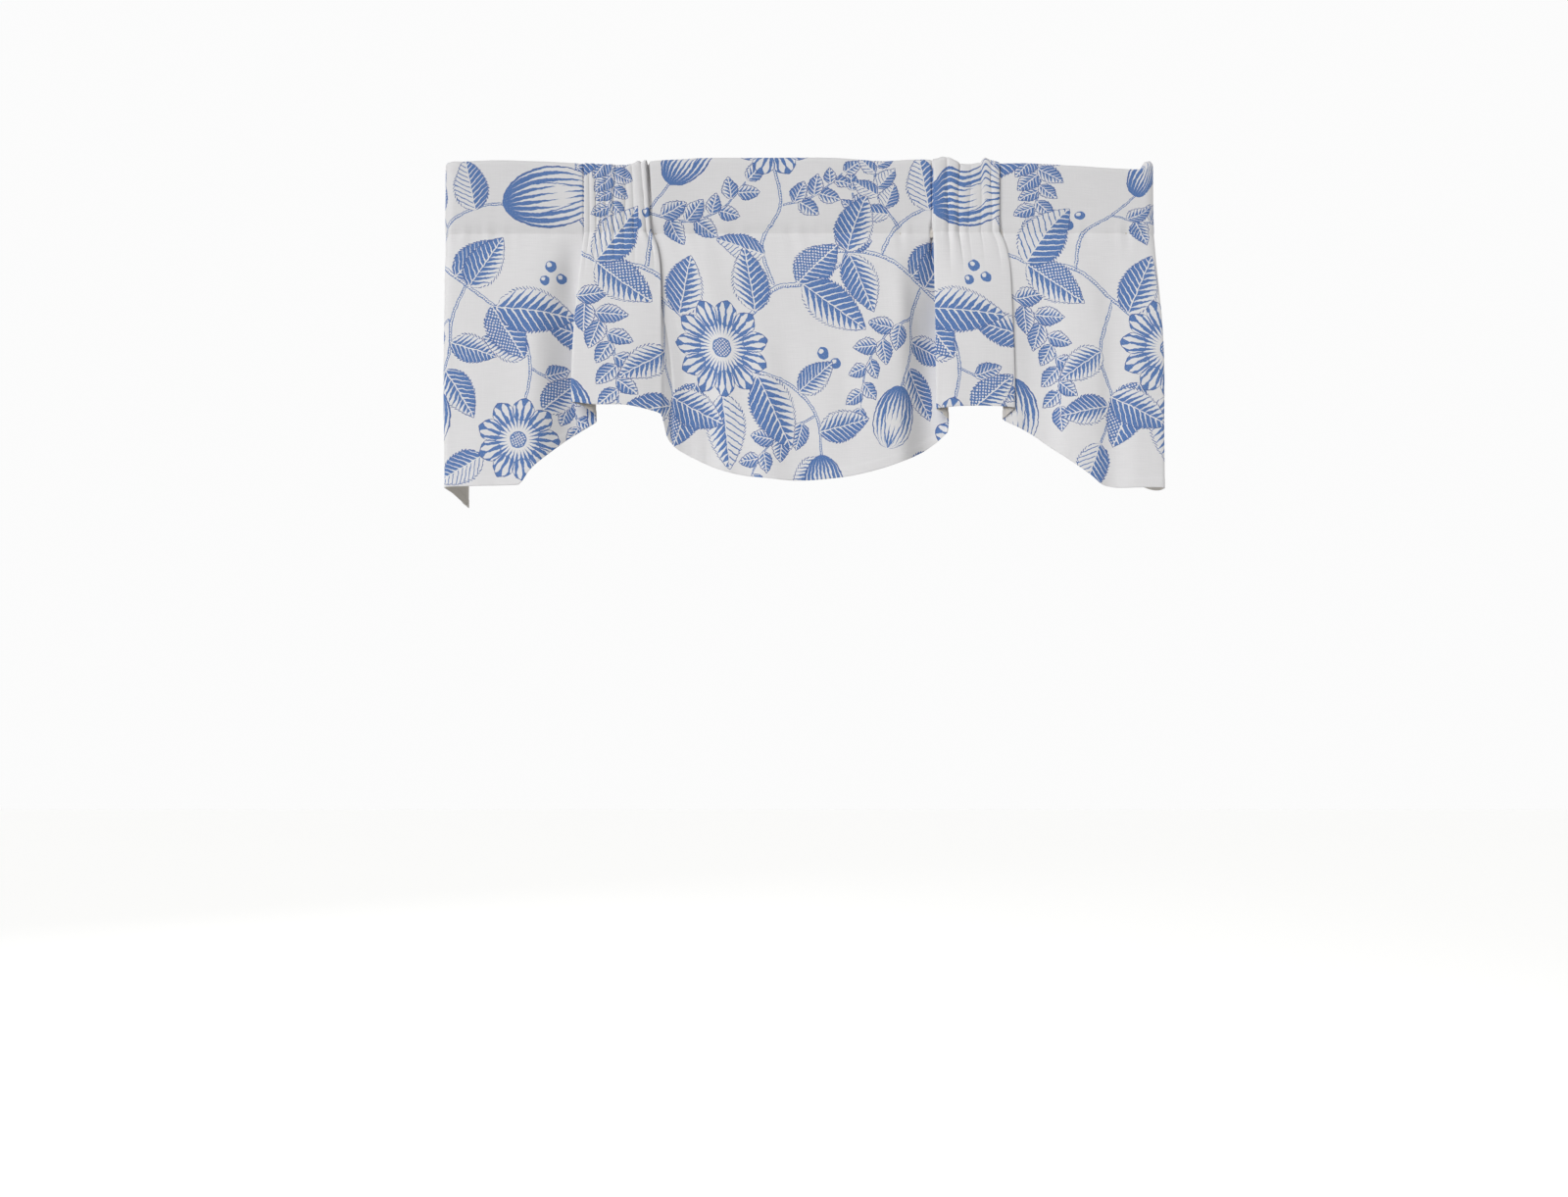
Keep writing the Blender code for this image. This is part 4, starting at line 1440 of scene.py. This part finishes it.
        work_out(tree, known, (
            ("tone_1", "MULTIPLY_ADD", "slub", 2 * strength, 1.0 - strength),
            ("tone_2", "MULTIPLY_ADD", "warp", strength, "tone_1"),
            ("tone", "MULTIPLY_ADD", "cloud", 0.04, "tone_2"),
            ("tone_level", "SUBTRACT", "tone", strength / 2 + 0.02),
            # painted shade: the pocket is painted a shade darker than the skirt, for the light that the rod
            # behind it keeps from coming through
            ("in_pocket", "GREATER_THAN", "height", self.pocket_foot),
            ("tone_with_painted_shade", "MULTIPLY_ADD", "in_pocket", -self.painted_pocket_shade, "tone_level"),
            ("weft_turn", "MULTIPLY", "cut_y", thread),
            ("warp_turn", "MULTIPLY", "cut_x", thread),
            ("weft_wave", "SINE", "weft_turn"),
            ("warp_wave", "SINE", "warp_turn"),
            ("weave", "MULTIPLY", "weft_wave", "warp_wave"),
            ("relief", "MULTIPLY_ADD", "slub", 1.6, "weave"),
        ))
        drawn = self.drawn_print(tree, cloth, group, paper)
        known.update(drawn, speck=noise(tree, cloth, 0.9, 1.0, 0.5).outputs[0])
        strongest = 0.96 if side is Side.FACE else self.show_through
        work_out(tree, known, (
            ("bare_1", "SUBTRACT", "speck", 0.62),
            ("bare", "MULTIPLY!", "bare_1", 3.0),
            ("kept", "MULTIPLY_ADD", "bare", -0.7, strongest),
            ("cover", "MULTIPLY!", "ink", "kept"),
        ))
        pigment = add_node(tree, "ShaderNodeMix", {"data_type": "RGBA"}, {
            0: known["line"], 6: linear_colour(self.ink), 7: linear_colour(self.ink_line)})
        bare = self.ground if side is Side.FACE else self.reverse
        colour = add_node(tree, "ShaderNodeMix", {"data_type": "RGBA"}, {
            0: known["cover"], 6: linear_colour(bare), 7: pigment.outputs[2]})
        # the ground and the ink, times the slubs' tone and the pocket's painted shade
        woven_with_painted_shade = vector_math(tree, "SCALE", colour.outputs[2], known["tone_with_painted_shade"])
        bump = add_node(tree, "ShaderNodeBump", None, {
            "Height": known["relief"], "Strength": 0.35, "Distance": 0.00012})
        shader = add_node(tree, "ShaderNodeBsdfPrincipled", None, {
            "Base Color": woven_with_painted_shade, "Roughness": self.roughness, "IOR": 1.5,
            "Specular IOR Level": 0.25, "Sheen Weight": self.sheen, "Sheen Roughness": 0.5,
            "Normal": bump.outputs[0]})
        add_node(tree, "ShaderNodeOutputMaterial", None, {"Surface": shader.outputs[0]})
        return material


@dataclass(frozen=True)
class CottonThread:
    """Spun cotton sewing thread, half-bleached: matt, a shade lighter than the cloth."""

    colour: str = "#DEDCDA"
    roughness: float = 0.7
    specular: float = 0.3

    def material(self) -> bpy.types.Material:
        """Makes the thread's finish."""
        return matt_material("spun_cotton_thread", self.colour, self.roughness, self.specular)


@dataclass(frozen=True)
class StudioPaper:
    """Matt background paper without gloss.

    The camera sees it glow evenly. For other rays its glow grows from nothing, a little in front of the
    cloth, to the full glow behind it. The two places are in metres back towards the wall.
    """

    colour: str = "#D2D2D1"
    roughness: float = 0.95
    specular: float = 0.1
    glow: float = 0.98
    glow_starts: float = -0.2
    glow_full: float = 0.7

    def material(self) -> bpy.types.Material:
        """Makes the paper's finish."""
        material = matt_material("studio_paper", self.colour, self.roughness, self.specular)
        tree = material.node_tree
        shader = tree.nodes["Principled BSDF"]
        shader.inputs["Emission Color"].default_value = linear_colour(self.colour)
        place = parts_of(tree, add_node(tree, "ShaderNodeTexCoord").outputs["Object"])
        glow = add_node(tree, "ShaderNodeMapRange", {"interpolation_type": "SMOOTHSTEP"}, {
            "Value": place[1], "From Min": self.glow_starts, "From Max": self.glow_full,
            "To Max": self.glow})
        ray = add_node(tree, "ShaderNodeLightPath")
        seen = add_node(tree, "ShaderNodeMapRange", None, {
            "Value": ray.outputs["Is Camera Ray"], "To Min": glow.outputs[0], "To Max": self.glow})
        tree.links.new(seen.outputs[0], shader.inputs["Emission Strength"])
        return material


# ---------------------------------------------------------------------------------------------------
# Pieces


@dataclass
class ValanceCloth:
    """The valance's one sheet of printed cotton, with its rod pocket and its turned hem."""

    hung: HungCloth
    paper: BotanicalPrint
    finish: PrintedCotton
    cloth_thick: float = 0.6
    hem_thick: float = 1.3
    hem_rows: tuple[float, ...] = (0.0, 0.8, 2.2, 4.5, 7.5, 10.2, 11.5, 12.7, 14.4, 17.5)
    stitch_rows: tuple[float, ...] = (15.0, 11.0, 7.6, 5.0, 3.0, 1.4, 0.0)
    middle_rows: int = 33

    def lay_out(self) -> tuple[np.ndarray, np.ndarray]:
        """Works out every point of the sheet.

        Returns:
            The points in rows from the hem to the pocket's inner edge, and each point's place on the
            cut cloth, both in millimetres.
        """
        hung = self.hung
        cloth = hung.columns()
        drop = hung.hem_drop(cloth)
        dip = hung.top_dip(hung.plan(cloth, Level.STITCH)[0])
        rows = [-(drop - height) for height in self.hem_rows]
        low, high = rows[-1], -(hung.pocket_height + self.stitch_rows[0])
        for i in range(1, self.middle_rows):
            rows.append(low + (high - low) * i / self.middle_rows)
        rows += [np.full_like(drop, -(hung.pocket_height + height)) for height in self.stitch_rows]
        heights = np.array(rows)
        skirt = hung.skirt(cloth, heights, drop)
        pocket, above = hung.pocket(cloth)
        depth = np.concatenate([-heights - dip, hung.pocket_height - dip - above[:, None]])
        across = np.broadcast_to(cloth, depth.shape)
        return np.concatenate([skirt, pocket]), np.stack([across, depth], axis=-1)

    def dip_ease(self, places: np.ndarray) -> np.ndarray:
        """How far the print is let down, so that the top edge's dips bend it only in the pocket."""
        hung = self.hung
        dip = hung.top_dip(hung.plan(places[0, :, 0], Level.STITCH)[0])
        return dip * smooth_step(places[..., 1], 0.0, hung.pocket_height - 16.0)

    def build(self) -> bpy.types.Object:
        """Makes the sheet with its thickness, its print and its two finishes.

        Returns:
            The cloth.
        """
        points, places = self.lay_out()
        rows, columns = points.shape[:2]
        shape = bmesh.new()
        bmesh.ops.create_grid(shape, x_segments=columns - 1, y_segments=rows - 1, size=0.5)
        row_of, column_of = [], []
        for vertex in shape.verts:
            column = round((vertex.co.x + 0.5) * (columns - 1))
            row = round((vertex.co.y + 0.5) * (rows - 1))
            row_of.append(row)
            column_of.append(column)
            vertex.co = points[row, column] * MM
        piece = put_in_scene("valance_cloth", shape)
        mesh = piece.data
        row_of, column_of = np.array(row_of), np.array(column_of)
        corner = np.empty(len(mesh.loops), int)
        mesh.loops.foreach_get("vertex_index", corner)
        printed = places.copy()
        printed[..., 1] += self.dip_ease(places)
        cut = printed[row_of[corner], column_of[corner]]
        mesh.uv_layers.new(name="cut_cloth").data.foreach_set("uv", (cut * MM).ravel())
        layers, lost = self.paper.lay(cut.reshape(-1, 4, 2))
        LOG.info("print: %d crossings without a layer", lost)
        for name, values in layers.items():
            attribute = mesh.attributes.new(name, "FLOAT_VECTOR", "CORNER")
            attribute.data.foreach_set("vector", values.ravel())
        group = self.finish.motif_group()
        for side in Side:
            mesh.materials.append(self.finish.material(side, group, self.paper))
        self.add_thickness(piece, points[row_of, column_of, 2], column_of)
        return piece

    def add_thickness(self, piece: bpy.types.Object, z: np.ndarray, column_of: np.ndarray) -> None:
        """Gives the sheet its thickness behind its face, and more of it where the hem is turned up.

        Args:
            piece: The cloth.
            z: Each vertex's height.
            column_of: Each vertex's column.
        """
        drop = self.hung.hem_drop(self.hung.columns())
        above = z + drop[column_of]
        turned = 1 - smooth_step(above, self.hung.hem_turning - 0.8, self.hung.hem_turning + 0.8)
        group = piece.vertex_groups.new(name="turned_hem")
        for i in np.nonzero(turned > 0.01)[0]:
            group.add([int(i)], float(turned[i]), "REPLACE")
        wall = piece.modifiers.new("cloth_thickness", "SOLIDIFY")
        wall.thickness = self.hem_thick * MM
        wall.offset = -1
        wall.vertex_group = "turned_hem"
        wall.thickness_vertex_group = self.cloth_thick / self.hem_thick
        wall.material_offset = 1

    def flat_size(self) -> tuple[float, float, float]:
        """The cloth's flat width, length and area as finished, in metres."""
        _, places = self.lay_out()
        cloth = places[0, :, 0]
        lengths = places[0, :, 1] - places[-1, :, 1]
        area = float(((lengths[1:] + lengths[:-1]) / 2 * np.diff(cloth)).sum())
        return self.hung.cut_width * MM, float(lengths.max()) * MM, area * MM * MM


@dataclass
class PocketStitching:
    """The row of lockstitches that closes the rod pocket, on its front."""

    hung: HungCloth
    finish: CottonThread
    pitch: float = 3.2
    length: float = 2.4
    half_thick: float = 0.2
    end_room: float = 4.0
    fold_room: float = 1.5

    def build(self) -> bpy.types.Object:
        """Makes the stitches as one piece.

        Returns:
            The stitching.
        """
        hung = self.hung
        cloth = np.arange(self.end_room, hung.cut_width - self.end_room, self.pitch)
        hidden = np.zeros(len(cloth), bool)
        for name in TUCKS:
            start, end = hung.span(name)
            hidden |= (cloth > start - self.fold_room) & (cloth < end + self.fold_room)
        cloth = cloth[~hidden]
        columns = hung.columns()
        height = np.full((1, len(columns)), -hung.pocket_height - 0.05)
        seam = hung.skirt(columns, height, hung.hem_drop(columns))[0]
        here, ahead = (
            np.stack([np.interp(cloth + step, columns, seam[:, k]) for k in range(3)], axis=-1)
            for step in (0.0, 0.2))
        shape = bmesh.new()
        for place, next_place in zip(here, ahead):
            run = Vector(next_place - place).normalized()
            out = run.cross(Vector((0, 0, 1)))
            made = bmesh.ops.create_icosphere(shape, subdivisions=1, radius=1.0)["verts"]
            for vertex in made:
                x, y, z = vertex.co
                spot = Vector(place) + run * x * self.length / 2 + out * (y * self.half_thick + 0.1)
                vertex.co = (spot + Vector((0, 0, z * self.half_thick))) * MM
        piece = put_in_scene("pocket_stitching", shape)
        piece.data.materials.append(self.finish.material())
        return piece


# ---------------------------------------------------------------------------------------------------
# Studio


class Lamp(NamedTuple):
    """A lamp: its kind, where it stands and what it faces in metres, and its strength.

    A soft box has a size in metres and a power in watts. A distant lamp, which lights the whole width
    evenly, has a breadth in degrees and a strength in watts a square metre.
    """

    name: str
    kind: str
    place: tuple[float, float, float]
    target: tuple[float, float, float]
    size: float
    strength: float


@dataclass
class Studio:
    """A pale floor and backdrop, three lamps, and the camera where the photographer stood.

    Soft light comes from the upper left. A soft box stands behind the cloth at the left, and a small one
    stands to the right of the cloth. The world is brighter behind the cloth than in front of it, and
    brightest where the camera sees it.
    """

    floor_z: float = -1.5
    floor_size: float = 24.0
    world_colour: str = "#FFFFFF"
    room_strength: float = 0.12
    wall_strength: float = 0.32
    backdrop_strength: float = 0.97
    wall_starts: float = 0.4
    wall_full: float = 0.7
    camera_place: tuple[float, float, float] = (0.0, -1.6, -0.7777)
    lens: float = 27.79
    shift: tuple[float, float] = (-0.01, 0.0934)
    lamps: tuple[Lamp, ...] = (
        Lamp("key_light", "SUN", (-1.95, -3.1, 1.45), (0.0, 0.0, -0.25), 48.0, 2.66),
        Lamp("back_softbox", "AREA", (-2.0, 2.5, 1.3), (0.0, 0.0, -0.2), 2.0, 28.0),
        Lamp("side_softbox", "AREA", (2.6, 0.06, 0.1), (0.47, 0.05, -0.2), 0.12, 15.0),
    )

    def build(self) -> None:
        """Makes the floor, the lamps, the world and the camera."""
        scene = bpy.context.scene
        self.build_floor()
        for lamp in self.lamps:
            light = bpy.data.lights.new(lamp.name, lamp.kind)
            if lamp.kind == "SUN":
                light.angle = math.radians(lamp.size)
            else:
                light.size = lamp.size
            light.energy = lamp.strength
            holder = bpy.data.objects.new(lamp.name, light)
            holder.location = lamp.place
            aim = Vector(lamp.target) - Vector(lamp.place)
            holder.rotation_euler = aim.to_track_quat("-Z", "Y").to_euler()
            holder.visible_camera = False
            scene.collection.objects.link(holder)
        world = bpy.data.worlds.new("pale_studio")
        world.use_nodes = True
        tree = world.node_tree
        background = tree.nodes["Background"]
        background.inputs["Color"].default_value = linear_colour(self.world_colour)
        direction = parts_of(tree, add_node(tree, "ShaderNodeTexCoord").outputs["Generated"])
        bright = add_node(tree, "ShaderNodeMapRange", {"interpolation_type": "SMOOTHSTEP"}, {
            "Value": direction[1], "From Min": self.wall_starts, "From Max": self.wall_full,
            "To Min": self.room_strength, "To Max": self.wall_strength})
        ray = add_node(tree, "ShaderNodeLightPath")
        seen = add_node(tree, "ShaderNodeMix", {"data_type": "FLOAT"}, {
            0: ray.outputs["Is Camera Ray"], 2: bright.outputs[0], 3: self.backdrop_strength})
        tree.links.new(seen.outputs[0], background.inputs["Strength"])
        scene.world = world
        scene.view_settings.view_transform = "Standard"
        lens = bpy.data.cameras.new("photo_camera")
        lens.lens = self.lens
        lens.sensor_width = 36.0
        lens.shift_x, lens.shift_y = self.shift
        lens.clip_start, lens.clip_end = 0.05, 60.0
        camera = bpy.data.objects.new("photo_camera", lens)
        camera.location = self.camera_place
        camera.rotation_euler = (math.pi / 2, 0.0, 0.0)
        scene.collection.objects.link(camera)
        scene.camera = camera

    def build_floor(self) -> None:
        """Makes the floor and gives it its studio paper."""
        shape = bmesh.new()
        bmesh.ops.create_grid(shape, x_segments=1, y_segments=1, size=self.floor_size / 2)
        bmesh.ops.translate(shape, verts=shape.verts, vec=(0.0, 0.0, self.floor_z))
        floor = put_in_scene("studio_floor", shape)
        floor.data.materials.append(StudioPaper().material())


def main() -> None:
    logging.basicConfig(level=logging.INFO, format="%(name)s: %(message)s")
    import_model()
    hung = HungCloth()
    sheet = ValanceCloth(hung, BotanicalPrint(), PrintedCotton())
    cloth = sheet.build()
    stitching = PocketStitching(hung, CottonThread()).build()
    for piece in (cloth, stitching):
        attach(piece, "root")
        faces = len(piece.data.polygons)
        LOG.info("%s: %d faces", piece.name, faces)
    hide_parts(*CAD_NODES)
    width, length, area = sheet.flat_size()
    LOG.info("flat size: %.4f by %.4f m, %.4f square metres", width, length, area)
    Studio().build()


if __name__ == "__main__":
    main()
